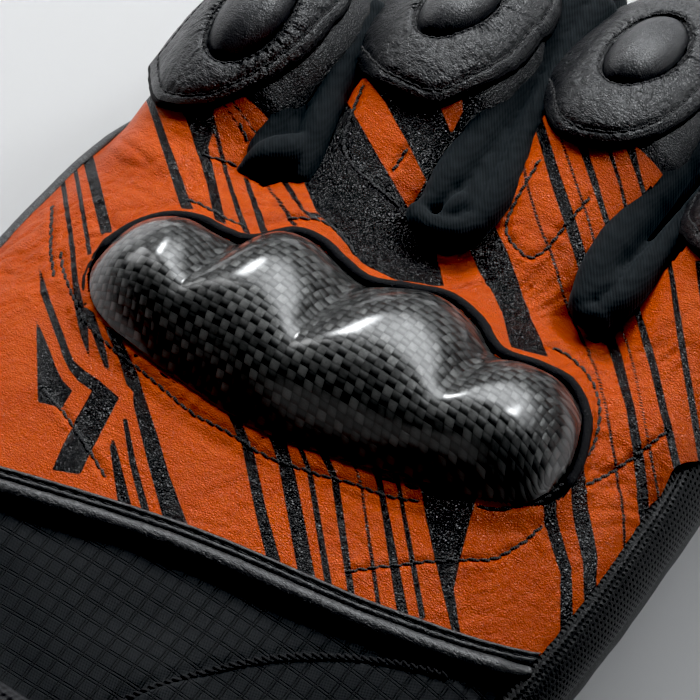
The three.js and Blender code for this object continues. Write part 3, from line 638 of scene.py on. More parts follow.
def perforated(name):
    """Soft leather pierced by rows of tiny holes."""
    m = Nodes(name)
    n, pebble, crease = leather_grain(m, 0.4, 0.03, 0.04)
    uv = m.xyz(m.attr("uvw", True))
    pitch = 0.86
    u, v = m.math("DIVIDE", uv[0], pitch), m.math("DIVIDE", uv[1], pitch)
    odd = m.math("MULTIPLY", m.math("FLOORED_MODULO", m.math("FLOOR", v), 2.0), 0.5)
    fu = m.math("SUBTRACT", m.math("FRACT", m.math("ADD", u, odd)), 0.5)
    fv = m.math("SUBTRACT", m.math("FRACT", v), 0.5)
    r = m.math("SQRT", m.math("ADD", m.math("MULTIPLY", fu, fu), m.math("MULTIPLY", fv, fv)))
    hole = m.math("MULTIPLY_ADD", r, -9.0, 2.9, clamp=True)
    n = m.bump(m.math("SUBTRACT", 1.0, hole), 0.09, 1.0, n)
    # painted shade: the holes, which the mesh doesn't cut, are painted near-black
    m.set(Base_Color=m.mix(hole, (0.0040, 0.0042, 0.0048, 1), (0.0002, 0.0002, 0.0002, 1)), Roughness=m.lerp(hole, 0.42, 0.9), Normal=n)
    m.bsdf.inputs["Specular IOR Level"].default_value = 0.4
    return m.mat


def thread(name, colour=(0.006, 0.006, 0.007)):
    m = Nodes(name)
    tw = m.math("SINE", m.math("MULTIPLY", m.attr("twist"), 2 * math.pi / 0.35))
    n = m.bump(m.math("ADD", tw, m.noise(6000, 2)), 0.05, 0.8)
    # painted highlight and shade: the thread is lighter on the crest of each ply of its twist and darker between plies,
    # following the bump
    m.set(Base_Color=m.mix(m.math("MULTIPLY_ADD", tw, 0.5, 0.5, clamp=True), tuple(c * 0.4 for c in colour) + (1,), tuple(c * 2.2 for c in colour) + (1,)), Roughness=0.6, Normal=n)
    m.bsdf.inputs["Sheen Weight"].default_value = 0.2
    return m.mat


def webbing(name, colour=(0.012, 0.012, 0.014)):
    m = Nodes(name)
    uv = m.xyz(m.attr("uvw", True))
    a = m.math("SINE", m.math("MULTIPLY", m.math("ADD", uv[0], uv[1]), 2 * math.pi / 1.1))
    b = m.math("SINE", m.math("MULTIPLY", uv[1], 2 * math.pi / 0.9))
    h = m.math("MULTIPLY_ADD", a, 0.6, m.math("MULTIPLY", b, 0.4))
    n = m.bump(m.math("ADD", h, m.noise(3000, 2)), 0.12, 0.8)
    # painted highlight and shade: the webbing is lighter on the crests of its weave and darker in the hollows,
    # following the bump's height
    m.set(Base_Color=m.mix(m.math("MULTIPLY_ADD", h, 0.5, 0.5, clamp=True), tuple(c * 0.4 for c in colour) + (1,), tuple(c * 1.5 for c in colour) + (1,)), Roughness=0.7, Normal=n)
    return m.mat


M_STRIPE = striped_leather("striped_leather")
M_LEATHER = leather("black_leather", (0.014, 0.0145, 0.016), 0.36, 0.42, 0.06, 0.08, 0.6)
M_PATCH = leather("patch_leather", (0.015, 0.0155, 0.0175), 0.33, 0.44, 0.06, 0.13, 1.0)
M_PAD = leather("pad_leather", (0.020, 0.0205, 0.0235), 0.36, 0.40, 0.03, 0.04, 1.0)
M_PALM = leather("palm_leather", (0.014, 0.014, 0.015), 0.46, 0.55, 0.04, 0.06, 0.4)
M_PIPE = leather("piping_leather", (0.018, 0.0185, 0.0205), 0.33, 0.42, 0.04, 0.08, 1.0)
M_RAW = fuzz("raw_edge", (0.012, 0.012, 0.013))
M_RIM = fuzz("rim_felt")
M_KNIT = knit("stretch_knit")
M_RIP = ripstop("ripstop")
M_CARBON = carbon("carbon_weave")
M_PERF = perforated("perforated_leather")
M_THREAD = thread("thread")
M_STRAP = webbing("strap_webbing")

PIECES = []


def piece(ob, slot, *nodes):
    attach(ob, "root")
    live = [n for n in nodes if n in NODES]
    if live:
        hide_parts(*live)
    PIECES.append(ob)
    return ob


# ---- charts, in pixels of the 700 by 700 picture --------------------------
# Black stripes: left edge, right edge, how far each runs on before its first and after its last point.
STRIPES = [
    ([(150, 112), (164, 155), (178, 198)], [(158, 113), (174, 156), (190, 200)], 40, 12),
    ([(193, 140), (206, 178), (212, 207)], [(207, 140), (216, 178), (224, 214)], 0, 14),
    ([(178, 100), (190, 130), (196, 148)], [(214, 100), (213, 130), (208, 148)], 10, 0),
    ([(216, 140), (228.5, 185), (240, 223)], [(222, 144), (234, 187), (247.5, 227)], 40, 12),
    ([(228, 112), (238, 127), (246, 140)], [(231, 112), (241, 127), (249, 140)], 20, 0),
    ([(239, 112), (247, 122), (255, 134)], [(242.5, 112), (250, 122), (258, 134)], 20, 0),
    ([(247.5, 187), (257.6, 223)], [(253, 187), (265.4, 224)], 14, 12),
    ([(271, 190.5), (286.6, 216)], [(274.5, 190.5), (292, 217)], 14, 12),
    ([(286.6, 189), (300, 211.7), (307, 215)], [(292, 188), (304.5, 211.7), (315, 215)], 14, 8),
    ([(61, 190), (68, 236), (72, 280), (74, 305), (80, 334), (89, 358)], [(66, 190), (73, 236), (78, 280), (84, 305), (88, 330), (89.6, 358)], 60, 0),
    ([(74.6, 180), (85.7, 245)], [(79, 180), (90.5, 245)], 60, 12),
    ([(84.6, 169), (98, 223)], [(95.5, 166), (109, 219)], 60, 12),
    ([(88, 322), (98, 350), (104, 366), (110, 371)], [(99, 328), (106, 350), (110, 371)], 14, 0),
    ([(107, 334), (119, 360), (126, 383), (133, 391), (133, 403), (148, 464), (158, 500)], [(126, 350), (137, 372), (143, 391), (159, 440), (169, 474), (184, 514)], 12, 20),
    ([(122.5, 418), (129, 462), (138, 497)], [(127, 418), (136, 462), (146, 498)], 0, 20),
    ([(112.8, 437), (109.6, 447), (116, 490)], [(113.4, 437), (118.5, 455), (128, 492)], 0, 20),
    ([(231, 424), (242, 446), (254.5, 509), (262, 540)], [(245, 432), (254.5, 454), (267, 513), (276, 545)], 10, 20),
    ([(270, 442), (278, 462), (294, 551)], [(288, 450), (295, 472), (312, 560)], 10, 40),
    ([(300, 456), (307, 472), (321, 560)], [(306, 458), (313, 474), (328, 560)], 10, 40),
    ([(323, 463), (331, 478), (343, 560)], [(331, 464), (339, 480), (350, 560)], 10, 50),
    ([(354.6, 473), (360, 486), (370, 560)], [(358, 473), (363, 486), (374, 560)], 10, 50),
    ([(374, 478), (379, 494), (389, 560)], [(382, 481), (386, 497), (398, 560)], 10, 60),
    ([(395, 483.5), (399, 499), (409.5, 560)], [(400, 485), (404, 500.5), (415, 560)], 10, 60),
    ([(420, 488), (434, 555), (448.4, 615)], [(476, 497), (460.7, 557), (454, 589), (458.5, 618)], 8, 30),
    ([(541, 503), (545.5, 526), (561, 575), (561, 611)], [(554, 497), (556.7, 515), (572, 569), (573.4, 602)], 14, 30),
    ([(567, 476), (571, 506), (583.5, 562), (584.6, 591)], [(582.4, 466), (587, 497), (598, 557), (597, 580)], 14, 30),
    ([(599, 328), (612.5, 361), (626, 408), (632.6, 450), (640, 524)], [(610.5, 326), (621.4, 354.6), (635, 409), (644, 457), (651, 515)], 30, 60),
    ([(632.6, 305.5), (641.5, 341), (650, 368), (662, 420)], [(639.3, 308), (650, 341), (658, 368), (670, 420)], 30, 90),
    ([(465, 242), (478.6, 270), (494, 294), (503, 310), (508, 334)], [(492, 220.6), (507.6, 252), (523, 294), (534.4, 325.5), (543.3, 345.6)], 50, 14),
    ([(540, 145), (550, 180.5), (564.5, 225), (578, 270), (579, 281)], [(551, 145), (560, 173.8), (572.3, 209.5), (586.8, 258.6), (590, 275)], 50, 10),
    ([(580, 151.4), (592.4, 187), (601.3, 214), (608, 236)], [(588, 151.4), (597, 178), (604.7, 205), (613, 231)], 50, 20),
    ([(609, 156), (619, 185), (623.7, 205)], [(613.6, 156), (621.4, 180.5), (627.5, 205)], 50, 20),
    ([(629, 156), (637, 178), (641, 192)], [(637, 156), (640.8, 173.8), (646, 192)], 50, 20),
    ([(672, 300), (676, 330), (688, 400)], [(678, 300), (683, 330), (695, 400)], 40, 90),
    ([(700, 300), (704, 330), (716, 400)], [(716, 300), (720, 330), (732, 400)], 40, 90),
]
# Thin black lines: points, width in pixels, run-on at both ends.
THIN = [
    ([(524.3, 169), (527.7, 187), (541, 231.8), (552, 254), (565.6, 305.5), (578, 331), (592, 359), (603.6, 390), (612.5, 446), (623.7, 510.7), (625, 546)], 3.0, 30),
    ([(564.5, 149), (579, 191.6), (588, 218.4), (595.8, 249.6)], 2.8, 30),
    ([(619, 322), (632.6, 361), (641.5, 403.7), (650, 450)], 2.9, 60),
]
# Closed black areas, then closed orange areas laid over them.
BLACK_AREAS = [
    [(304.5, 184), (316, 214), (330, 224), (345, 243), (362, 262), (400, 282), (446, 284), (438, 247), (440, 225), (470, 205), (486, 150), (520, 60), (290, 40), (296, 120)],
    [(38, 262), (50, 299), (57.3, 317.9), (63.3, 333.6), (68.2, 348.1), (74.2, 361.5), (83.9, 370), (98.5, 379.6), (119, 397.2), (91.2, 451.1), (80, 474), (52, 470), (63.3, 443.8), (73, 424.5), (91.8, 390.5), (77.9, 380.9), (69.4, 370), (63.3, 357.8), (59, 344.5), (53.6, 330), (40, 292)],
    [(36, 318), (50, 350.6), (56, 367.5), (62, 379.6), (72.4, 390.5), (62.7, 407.5), (38, 402)],
]
ORANGE_AREAS = [
    [(345, 60), (341, 90), (346, 101), (352.5, 111), (379, 158), (409.4, 210), (426, 180.5), (409.4, 147), (384.8, 102), (364.7, 76), (355, 60)],
    [(436, 96), (442.9, 113.5), (451.8, 134), (463, 111), (462, 96)],
]
STITCHES = [  # a sewn line: points
    [(60, 250), (63, 272), (73.6, 297), (83.5, 320), (109, 347), (139, 369), (159, 385), (188, 411), (212, 424), (238, 438), (257.5, 452), (287, 464), (317, 474), (350, 482), (391, 497), (420, 500.5)],
    [(477.5, 508), (498, 511), (522, 507), (540, 504), (555, 491), (568, 483.5)],
    [(585, 486), (613.5, 470), (629, 460), (650, 444), (668, 430)],
    [(583, 461), (592.5, 449.5), (600, 421), (599, 395), (590, 374), (569, 353), (551, 347)],
    [(187, 197), (216, 210), (234, 222), (248, 227)],
    [(287, 217), (312, 217), (330, 224), (344, 236), (355, 252.5)],
    [(540.5, 158), (526, 183), (511, 208), (504, 230.5), (515, 246), (530, 261), (549, 248), (564, 227), (578, 210.5), (590, 196)],
    [(408, 147), (392, 172)],
    [(364, 84), (353, 108), (339, 151.5), (369, 181), (401, 207)],
    [(202, 153), (238, 163)],
    [(238, 120), (248, 141)],
    [(344, 572), (380, 566), (410, 563), (438, 560), (465, 559), (491, 560), (507, 552), (527, 540), (543, 524)],
    [(52, 204), (51, 228), (50, 250), (54, 276)],
    [(42, 388), (50, 396.6), (62, 410), (74.2, 426.9), (90, 451), (105.7, 476.5)],
]
# Stretch-knit folds: strands of (x, y in pixels, height in mm, radius in mm).
KNIT_AREAS = [  # where the folds of knit cover the leather's edge
    [(250, 172), (252, 160), (270, 135), (300, 84), (330, 40), (362, 40), (334, 100), (322, 130), (306, 168), (286, 180), (264, 182)],
    [(416, 212), (424, 196), (446, 160), (480, 105), (520, 50), (570, 50), (540, 112), (520, 155), (496, 205), (478, 228), (450, 238), (426, 230)],
    [(580, 308), (588, 285), (610, 248), (650, 190), (740, 100), (800, 140), (700, 230), (650, 285), (620, 312), (596, 326)],
]
FOLDS = {
    "little_ring": [
        [(352, 20, 27.5, 2.6), (322, 56, 28.5, 2.4), (295.5, 95.6, 30, 2.3), (273, 131, 31.5, 2.35), (258, 154, 32.2, 1.7)],
        [(372, 20, 27.5, 2.8), (348, 58, 29, 2.8), (333.5, 93, 30.5, 2.7), (321, 124.6, 31.8, 2.55), (311, 151, 32.6, 2.2), (301, 178, 33, 1.4)],
        [(332, 66, 27.0, 2.2), (312, 98, 28.6, 2.2), (298, 128, 30.2, 2.1), (286, 150, 31.4, 1.8)],
        [(245, 171, 33.4, 1.2), (255, 166, 33.6, 2.3), (269, 161, 33.8, 3.0), (284, 156.5, 33.4, 3.0), (297, 152, 32.8, 2.4)],
    ],
    "ring_middle": [
        [(575, 8, 27.5, 3.0), (535, 60, 28.5, 3.0), (501, 107, 30, 3.1), (483, 138, 31.5, 3.3), (463, 165, 33, 3.2), (446, 188, 34.2, 2.7), (430, 207, 35, 1.8)],
        [(600, 14, 27.5, 2.6), (568, 60, 28.5, 2.5), (541, 107, 30, 2.4), (523, 147, 32, 2.45), (507.6, 180, 33.6, 2.5), (489, 212, 34.8, 2.3), (474, 229, 35.4, 1.7)],
        [(556, 84, 27.6, 2.4), (524, 128, 29.4, 2.5), (502, 160, 31.2, 2.6), (482, 190, 33.0, 2.5), (462, 214, 34.2, 2.2)],
        [(416, 213, 35.8, 1.5), (423, 226, 36.0, 2.0), (438, 234, 36.0, 2.2), (455, 235, 35.8, 2.1), (470, 227, 35.4, 1.8)],
        [(478, 168, 33.6, 1.0), (462, 180, 34.4, 1.5), (444, 192, 35.2, 1.6), (424, 206, 35.8, 1.3), (414, 214, 36, 0.9)],
        [(468, 193, 35.6, 0.7), (461, 202, 36.4, 1.25), (452, 211, 36.8, 1.3), (443, 218, 36.8, 0.8)],
    ],
    "middle_index": [
        [(742, 90, 27.5, 3.0), (700, 138, 28.5, 3.0), (664, 182, 30, 3.0), (634.8, 218, 31.5, 3.1), (612.5, 249.6, 33, 3.1), (594.6, 281, 34.2, 2.8), (583, 304, 35, 2.0)],
        [(766, 130, 27.5, 2.6), (728, 180, 29, 2.5), (690, 226, 31, 2.5), (652, 268, 32.6, 2.5), (630, 291, 33.8, 2.4), (612, 309, 34.6, 2.2), (597, 317, 35, 1.7)],
        [(622, 274, 34.6, 0.8), (608, 283, 35.4, 1.4), (594, 293, 36.0, 1.45), (581, 303, 35.8, 1.0)],
        [(577, 306, 35, 1.3), (585, 316, 35, 1.9), (598, 319, 34.8, 1.9)],
    ],
}


def run_on(line, before, after):
    """The same line, carried straight on at both ends."""
    p = [np.array(q, float) for q in line]
    if before:
        d = p[0] - p[1]
        p.insert(0, p[0] + d / np.hypot(*d) * before)
    if after:
        d = p[-1] - p[-2]
        p.append(p[-1] + d / np.hypot(*d) * after)
    return np.array(p)


def stripe_distance(px):
    """Millimetres to the edge of the nearest black stripe, negative inside it."""
    polys = [np.concatenate([run_on(a, g0, g1), run_on(b, g0, g1)[::-1]]) for a, b, g0, g1 in STRIPES] + [np.array(p, float) for p in BLACK_AREAS]

    def signed(poly):
        out = np.full(len(px), 60.0)
        lo, hi = poly.min(0) - 12, poly.max(0) + 12
        near = np.all((px > lo) & (px < hi), 1)
        if near.any():
            d, _ = line_distance(px[near], poly, True)
            out[near] = np.where(inside(px[near], poly), -d, d)
        return out

    s = np.full(len(px), 60.0)
    for poly in polys:
        s = np.minimum(s, signed(poly))
    for line, w, g in THIN:
        s = np.minimum(s, line_distance(px, run_on(chaikin(line, 1), g, g))[0] - w / 2)
    for poly in ORANGE_AREAS:
        s = np.maximum(s, -signed(np.array(poly, float)))
    return np.clip(s / 6.7, -4, 4)


STITCH_3D = [on_surface(resample(chaikin(s, 2), 3.0), back_height, start=36.0) for s in STITCHES]
STITCH_XY = [p[:, :2] for p in STITCH_3D]


def guard_edge(x, inset=0.0):
    """Rear and front edge of the knuckle guard's outline at x, drawn in by inset."""
    k = G_REACH / (G_REACH - inset)
    xs = G_MID + (x - G_MID) * k
    u = np.clip(np.abs(x - G_MID) / (G_REACH - inset), 0, 1)
    d = inset * (1 - u**5)
    return G_REAR(xs) + d, G_FRONT(xs) - d


def guard_inside(x, y, inset=0.0):
    """Roughly how far a plan point lies inside the guard's outline, in mm."""
    r, f = guard_edge(np.clip(x, G_MID - G_REACH + inset, G_MID + G_REACH - inset), inset)
    side = G_REACH - inset - np.abs(x - G_MID)
    return np.minimum(np.minimum(y - r, f - y), np.where(side < 0, side, np.minimum(side * 2.2 + 1.2, 50)))


def guard_loop(inset, step=0.5):
    t = np.linspace(0, np.pi, 400)
    xs = G_MID - (G_REACH - inset) * np.cos(t)
    r, f = guard_edge(xs, inset)
    loop = np.concatenate([np.stack([xs, f], 1), np.stack([xs, r], 1)[::-1]])
    return resample(loop, step, True)


def creases(x, y, size, seed, along, stretch):
    """Fine leather wrinkles, longer along one direction (radians)."""
    c, s = np.cos(along), np.sin(along)
    a, b = (x * c + y * s) / stretch, -x * s + y * c
    w = noise2(x, y, size * 3.2, seed + 3) * size * 1.4
    return ridged(a + w, b + w, size, seed)


WRINKLES = [  # plan x, y, reach, depth, direction of the creases (radians)
    (-47, -4, 9, 0.55, 1.15), (-52, -16, 8, 0.50, 1.0), (-44, 12, 9, 0.60, -0.35), (-34, 22, 8, 0.55, -0.5), (-24, 14, 6, 0.45, 0.3),
    (6, 18, 9, 0.55, 0.9), (14, 26, 6, 0.55, 1.2), (-2, 26, 7, 0.45, 0.2), (30, 20, 7, 0.45, 0.8), (38, 28, 6, 0.5, 1.4), (44, 6, 7, 0.35, 0.6),
    (38, -26, 8, 0.10, 0.9), (18, -27, 5, 0.22, 0.4), (46, -14, 7, 0.16, 1.2), (-50, -34, 8, 0.25, 0.9), (0, -33, 9, 0.10, 0.6),
]


def back_relief(x, y):
    """Height of the folds, wrinkles and sewn grooves of the back leather."""
    d = 0.34 * noise2(x, y, 15, 1) + 0.14 * noise2(x, y, 6, 2)
    near_w = np.zeros_like(x)
    for cx, cy, reach, deep, way in WRINKLES:
        w = np.exp(-(((x - cx) ** 2 + (y - cy) ** 2) / reach**2))
        c = creases(x, y, 2.9, 200 + cx, way, 3.2)
        d -= deep * w * (1 - c) ** 2
        near_w = np.maximum(near_w, w)
    patchy = smooth(-0.1, 0.3, noise2(x, y, 11, 5))
    c2 = creases(x, y, 1.7, 13, 0.85, 2.8)
    c3 = creases(x, y, 1.1, 14, -0.3, 2.2)
    d -= (0.25 * patchy + near_w) * (0.16 * (1 - c2) ** 2 + 0.06 * (1 - c3) ** 2)
    pts = np.stack([x.ravel(), y.ravel()], 1)
    out = np.zeros(len(pts))
    for k, line in enumerate(STITCH_XY):
        lo, hi = line.min(0) - 5, line.max(0) + 5
        near = np.all((pts > lo) & (pts < hi), 1)
        if not near.any():
            continue
        r, s = line_distance(pts[near], line)
        g = -0.30 * np.exp(-((r / 0.42) ** 2)) + 0.10 * np.exp(-(((r - 1.1) / 0.6) ** 2))
        pucker = 0.09 * np.exp(-((r / 1.5) ** 2)) * np.sin(2 * np.pi * s / 1.9 + 0.9 * np.sin(s * 0.9 + k)) * smooth(0.25, 0.7, r) + 0.12 * np.exp(-((r / 3.0) ** 2)) * np.sin(2 * np.pi * s / 4.7 + 1.9 * np.sin(s * 0.5 + k))
        out[near] += g + pucker
    d = d + out.reshape(x.shape)
    gi = guard_inside(x, y)
    d += 0.55 * np.exp(-np.clip(-gi, 0, 20) / 1.3) - 0.30 * np.exp(-(((-gi - 3.4) / 1.5) ** 2))
    # soft hollows between the knuckles and a swelling at each finger's root
    d += -0.7 * np.exp(-(((x + 31) / 5.0) ** 2 + ((y - 17) / 6.0) ** 2)) - 0.8 * np.exp(-(((x + 3) / 6.0) ** 2 + ((y - 22) / 5.0) ** 2))
    d += 0.5 * np.exp(-(((x + 16) / 8.0) ** 2 + ((y - 20) / 6.0) ** 2)) + 0.35 * np.exp(-(((x - 14) / 7.0) ** 2 + ((y - 30) / 6.0) ** 2))
    return d


# ---- striped back ----------------------------------------------------------
def section_points(y, lo_z, hi_side_z, n):
    """Plan x of n+1 points at even spacing round the back, from the left split to the right split."""
    t = np.linspace(0, np.pi, 1400)
    k = 2 / H_N(y)
    xx = H_XC(y) - H_HALF(y) * np.sign(np.cos(t)) * np.abs(np.cos(t)) ** k
    zz = H_MID(y) + (H_TOP(y) - H_MID(y)) * np.sin(t) ** k
    keep = zz >= split_z(xx) - 9.0 * smooth(12, 26, y) * (xx > 0)
    xx, zz = xx[keep], zz[keep]
    s = np.concatenate([[0], np.cumsum(np.hypot(np.diff(xx), np.diff(zz)))])
    return np.interp(np.linspace(0, s[-1], n + 1), s, xx), s[-1]


def make_back_panel():
    step = 0.42
    ys = np.arange(-54, 55, step)
    n = int(138 / step)
    X = np.empty((len(ys), n + 1))
    for i, y in enumerate(ys):
        X[i], _ = section_points(y, 0, 0, n)
    Y = np.repeat(ys[:, None], n + 1, 1)
    Z = back_height(X, Y)
    d = back_relief(X, Y)
    # relief leans outwards where the side turns down
    base = np.stack([X, Y, Z], -1)
    du = np.gradient(base, axis=1)
    dv = np.gradient(base, axis=0)
    nrm = np.cross(du, dv)
    nrm /= np.linalg.norm(nrm, axis=-1, keepdims=True) + 1e-9
    nrm *= np.sign(nrm[..., 2:3] + 1e-9)
    P = base + nrm * d[..., None]
    px = project(base.reshape(-1, 3))
    s = stripe_distance(px)
    faces = grid_faces(len(ys), n + 1)
    x, y, z = base.reshape(-1, 3).T
    keep = (y > SEAM(x) - 0.4) & (guard_inside(x, y) < 2.2)
    end = np.full(len(x), 26.0)
    for f in FINGERS:
        on = np.abs(x - finger_x(f, y)) < f[3] * 1.02
        end = np.where(on, f[5] + 2.5, end)
    keep &= (y < end) & ((z > 17.5) | (y < 18) | (x > 44))
    for poly in KNIT_AREAS:
        keep &= ~inside(px, poly)
    faces = faces[keep[faces].all(1)]
    v, faces, s = compact(P.reshape(-1, 3), faces, s)
    ob = new_mesh("striped_back", v, faces, [M_STRIPE], attrs={"stripe": s})
    return piece(ob, "striped_leather", "back_panel")


# ---- knuckle guard -----------------------------------------------------------
VALLEYS = [(-43.5, 0.0), (-23.2, 0.66), (-4.2, 0.62), (18.6, 0.48), (39.5, 0.0)]  # x of each valley between the domes, how much of the height it takes away at the front


def dome_profile():
    """Loss of height across the domes: round tops that meet in creases."""
    x = np.linspace(-60, 60, 2401)
    v = np.array(VALLEYS)
    loss = np.zeros_like(x)
    for i in range(len(v) - 1):
        a, b = v[i], v[i + 1]
        c = (a[0] + b[0]) / 2
        if i == 0:
            c = -33.0
        if i == len(v) - 2:
            c = 28.5
        for side, edge in ((-1, a), (1, b)):
            half = abs(edge[0] - c)
            on = (x - c) * side >= 0
            on &= np.abs(x - c) <= half
            u = np.clip(np.abs(x - c) / half, 0, 1)
            arc = (1 - np.sqrt(1 - (0.93 * u) ** 2)) / (1 - np.sqrt(1 - 0.93**2))
            loss = np.where(on, edge[1] * arc, loss)
    k = np.exp(-((np.arange(-60, 61) * 0.05 / 0.95) ** 2))
    return x, np.convolve(loss, k / k.sum(), "same")


DOME_X, DOME_LOSS = dome_profile()


def guard_height(x, y):
    """Height of the shell above the hand inside its outline."""
    r, f = guard_edge(np.clip(x, G_MID - G_REACH + 2.3, G_MID + G_REACH - 2.3), 0)
    r, f = r + 0.5, f - 1.9
    v = np.clip((y - r) / np.clip(f - r, 1, None), 0, 1)
    side = np.clip((G_REACH - 1.7 - np.abs(x - G_MID)), 0, None)
    ends = (1 - np.clip(1 - side / 14.5, 0, 1) ** 2.1) ** (1 / 1.7)
    w = 2 * v - 1
    u = np.abs(w)
    across = np.where(w > 0, 1 - 0.17 * u - 0.50 * u**2.6 - 0.33 * u**8, 1 + 0.17 * u - 1.17 * u**2.2)
    loss = np.interp(x - 0.9 * (0.75 - v), DOME_X, DOME_LOSS) * smooth(0.10, 0.98, v)
    return 9.8 * (1 - 0.10 * ((x + 1) / 42) ** 2) * across * ends * (1 - loss)


def make_guard():
    nx, ny = 200, 96
    inset = 1.7
    t = np.linspace(0, 1, nx + 1)
    xs = G_MID - (G_REACH - inset) * np.cos(np.pi * (0.012 + 0.976 * t))
    xs = 0.62 * xs + 0.38 * np.linspace(xs[0], xs[-1], nx + 1)
    r, f = guard_edge(xs, inset)
    r = r - 0.8 * (1 - (np.abs(xs - G_MID) / G_REACH) ** 4)
    v = 0.5 - 0.5 * np.cos(np.pi * np.linspace(0, 1, ny + 1))
    v = 0.5 * v + 0.5 * np.linspace(0, 1, ny + 1)
    X = np.repeat(xs[:, None], ny + 1, 1)
    Y = r[:, None] + (f - r)[:, None] * v[None]
    Z = back_height(X, Y) * 1.0 + 0.35 + guard_height(X, Y)
    P = np.stack([X, Y, Z], -1)
    su = np.concatenate([np.zeros((1, ny + 1)), np.cumsum(np.hypot(np.diff(X, axis=0), np.diff(Z, axis=0) * 0.8), 0)])
    sv = np.concatenate([np.zeros((nx + 1, 1)), np.cumsum(np.hypot(np.diff(Y, axis=1), np.diff(Z, axis=1)), 1)], 1)
    mid = ny // 2
    su = su - su[nx // 2][None] * 0.0
    sv = sv - sv[:, mid : mid + 1] + Y[:, mid : mid + 1]
    faces = grid_faces(nx + 1, ny + 1)
    ob = new_mesh("carbon_guard", P.reshape(-1, 3), faces, [M_CARBON], attrs={"uvw": np.stack([su.ravel(), sv.ravel(), 0 * sv.ravel()], 1)})
    flip_up(ob)
    thicken(ob, 1.6, -1)
    return piece(ob, "carbon_weave", "knuckle_guard")


def flip_up(ob, centre=None):
    """Turns the faces so that they point up, or away from a centre line given as a function of y."""
    me = ob.data
    n = np.empty(len(me.polygons) * 3, np.float32)
    c = np.empty(len(me.polygons) * 3, np.float32)
    me.polygons.foreach_get("normal", n)
    me.polygons.foreach_get("center", c)
    n, c = n.reshape(-1, 3), c.reshape(-1, 3) * 1000 - SHIFT
    if centre is None:
        bad = n[:, 2].sum() < 0
    else:
        bad = (n * (c - centre(c))).sum() < 0
    if bad:
        me.flip_normals()
    return ob


def make_rim():
    """The rolled felt edge round the guard."""
    loop = guard_loop(0.0, 0.4)
    r0, f0 = guard_edge(np.clip(loop[:, 0], G_MID - G_REACH, G_MID + G_REACH))
    front = smooth(0.15, 0.75, (loop[:, 1] - r0) / np.clip(f0 - r0, 0.5, None))
    rad = 0.40 + 0.56 * front
    t = np.roll(loop, -1, 0) - np.roll(loop, 1, 0)
    t /= np.linalg.norm(t, axis=1, keepdims=True)
    turn = np.sign((loop[:, 0] * np.roll(loop[:, 1], -1) - np.roll(loop[:, 0], -1) * loop[:, 1]).sum())
    inward = np.stack([-t[:, 1], t[:, 0]], 1) * turn
    loop = loop + inward * (rad * 0.95)[:, None]
    z = back_height(loop[:, 0], loop[:, 1])
    wob = 0.06 * noise2(loop[:, 0], loop[:, 1], 1.1, 4)
    path = np.stack([loop[:, 0], loop[:, 1], z + 0.12 + 0.42 * front], 1)
    path[:, :2] += wob[:, None]
    v, f = tube(path, rad + 0.05 * noise2(loop[:, 0], loop[:, 1], 0.8, 9), 16, closed=True, squash=0.9)
    ob = new_mesh("guard_rim", v, f, [M_RIM])
    flip_centre(ob)
    return piece(ob, "guard_edge", "guard_surround")


def flip_centre(ob):
    """Closed bead: outward faces have a positive signed volume."""
    me = ob.data
    v = np.empty(len(me.vertices) * 3, np.float32)
    me.vertices.foreach_get("co", v)
    v = v.reshape(-1, 3).astype(float)
    v -= v.mean(0)
    tot = 0.0
    me.calc_loop_triangles()
    t = np.empty(len(me.loop_triangles) * 3, np.int32)
    me.loop_triangles.foreach_get("vertices", t)
    a, b, c = (v[t.reshape(-1, 3)[:, k]] for k in range(3))
    tot = (a * np.cross(b, c)).sum()
    if tot < 0:
        me.flip_normals()
    return ob


# ---- stitches -----------------------------------------------------------------
def stitch_run(path, length=1.62, gap=0.0, r=0.28, lift=0.05, nrm=(0, 0, 1), wave=0.30, seed=0):
    """Sewn thread along a path: slanted stitches that run into one another and dip at every needle hole."""
    p = np.asarray(path, float)
    s = np.concatenate([[0], np.cumsum(np.linalg.norm(np.diff(p, axis=0), axis=1))])
    n = np.broadcast_to(np.asarray(nrm, float), p.shape)
    if s[-1] < 2 * length:
        return [], []
    rs = np.random.RandomState(seed + 17)
    count = max(2, int(s[-1] / length))
    holes = np.linspace(0.2, s[-1] - 0.2, count + 1) + 0.05 * length * rs.randn(count + 1)
    m_ = 7
    at = np.concatenate([holes[i] + (holes[i + 1] - holes[i]) * np.arange(m_) / m_ for i in range(count)] + [[holes[-1]]])
    u = np.concatenate([np.arange(m_) / m_ for _ in range(count)] + [[0.0]])
    k = np.minimum(np.arange(len(at)) // m_, count - 1)
    at = np.clip(at, 0, s[-1])
    q = np.stack([np.interp(at, s, p[:, j]) for j in range(3)], 1)
    m = np.stack([np.interp(at, s, n[:, j]) for j in range(3)], 1)
    m /= np.linalg.norm(m, axis=1, keepdims=True)
    t = np.gradient(q, axis=0)
    t /= np.linalg.norm(t, axis=1, keepdims=True) + 1e-9
    side = np.cross(t, m)
    arch = np.sin(np.pi * u) ** 0.6
    slant = wave * (np.clip(u * 1.25 - 0.12, 0, 1) - 0.5) * (0.8 + 0.4 * rs.rand(count))[k]
    q = q + m * (lift * arch - 0.16 * (1 - arch))[:, None] + side * slant[:, None]
    sides = 6
    v, f = tube(q, r * (0.72 + 0.28 * arch), sides, up=m)
    return [(v, f)], [np.concatenate([np.repeat(at, sides), [at[0], at[-1]]])]


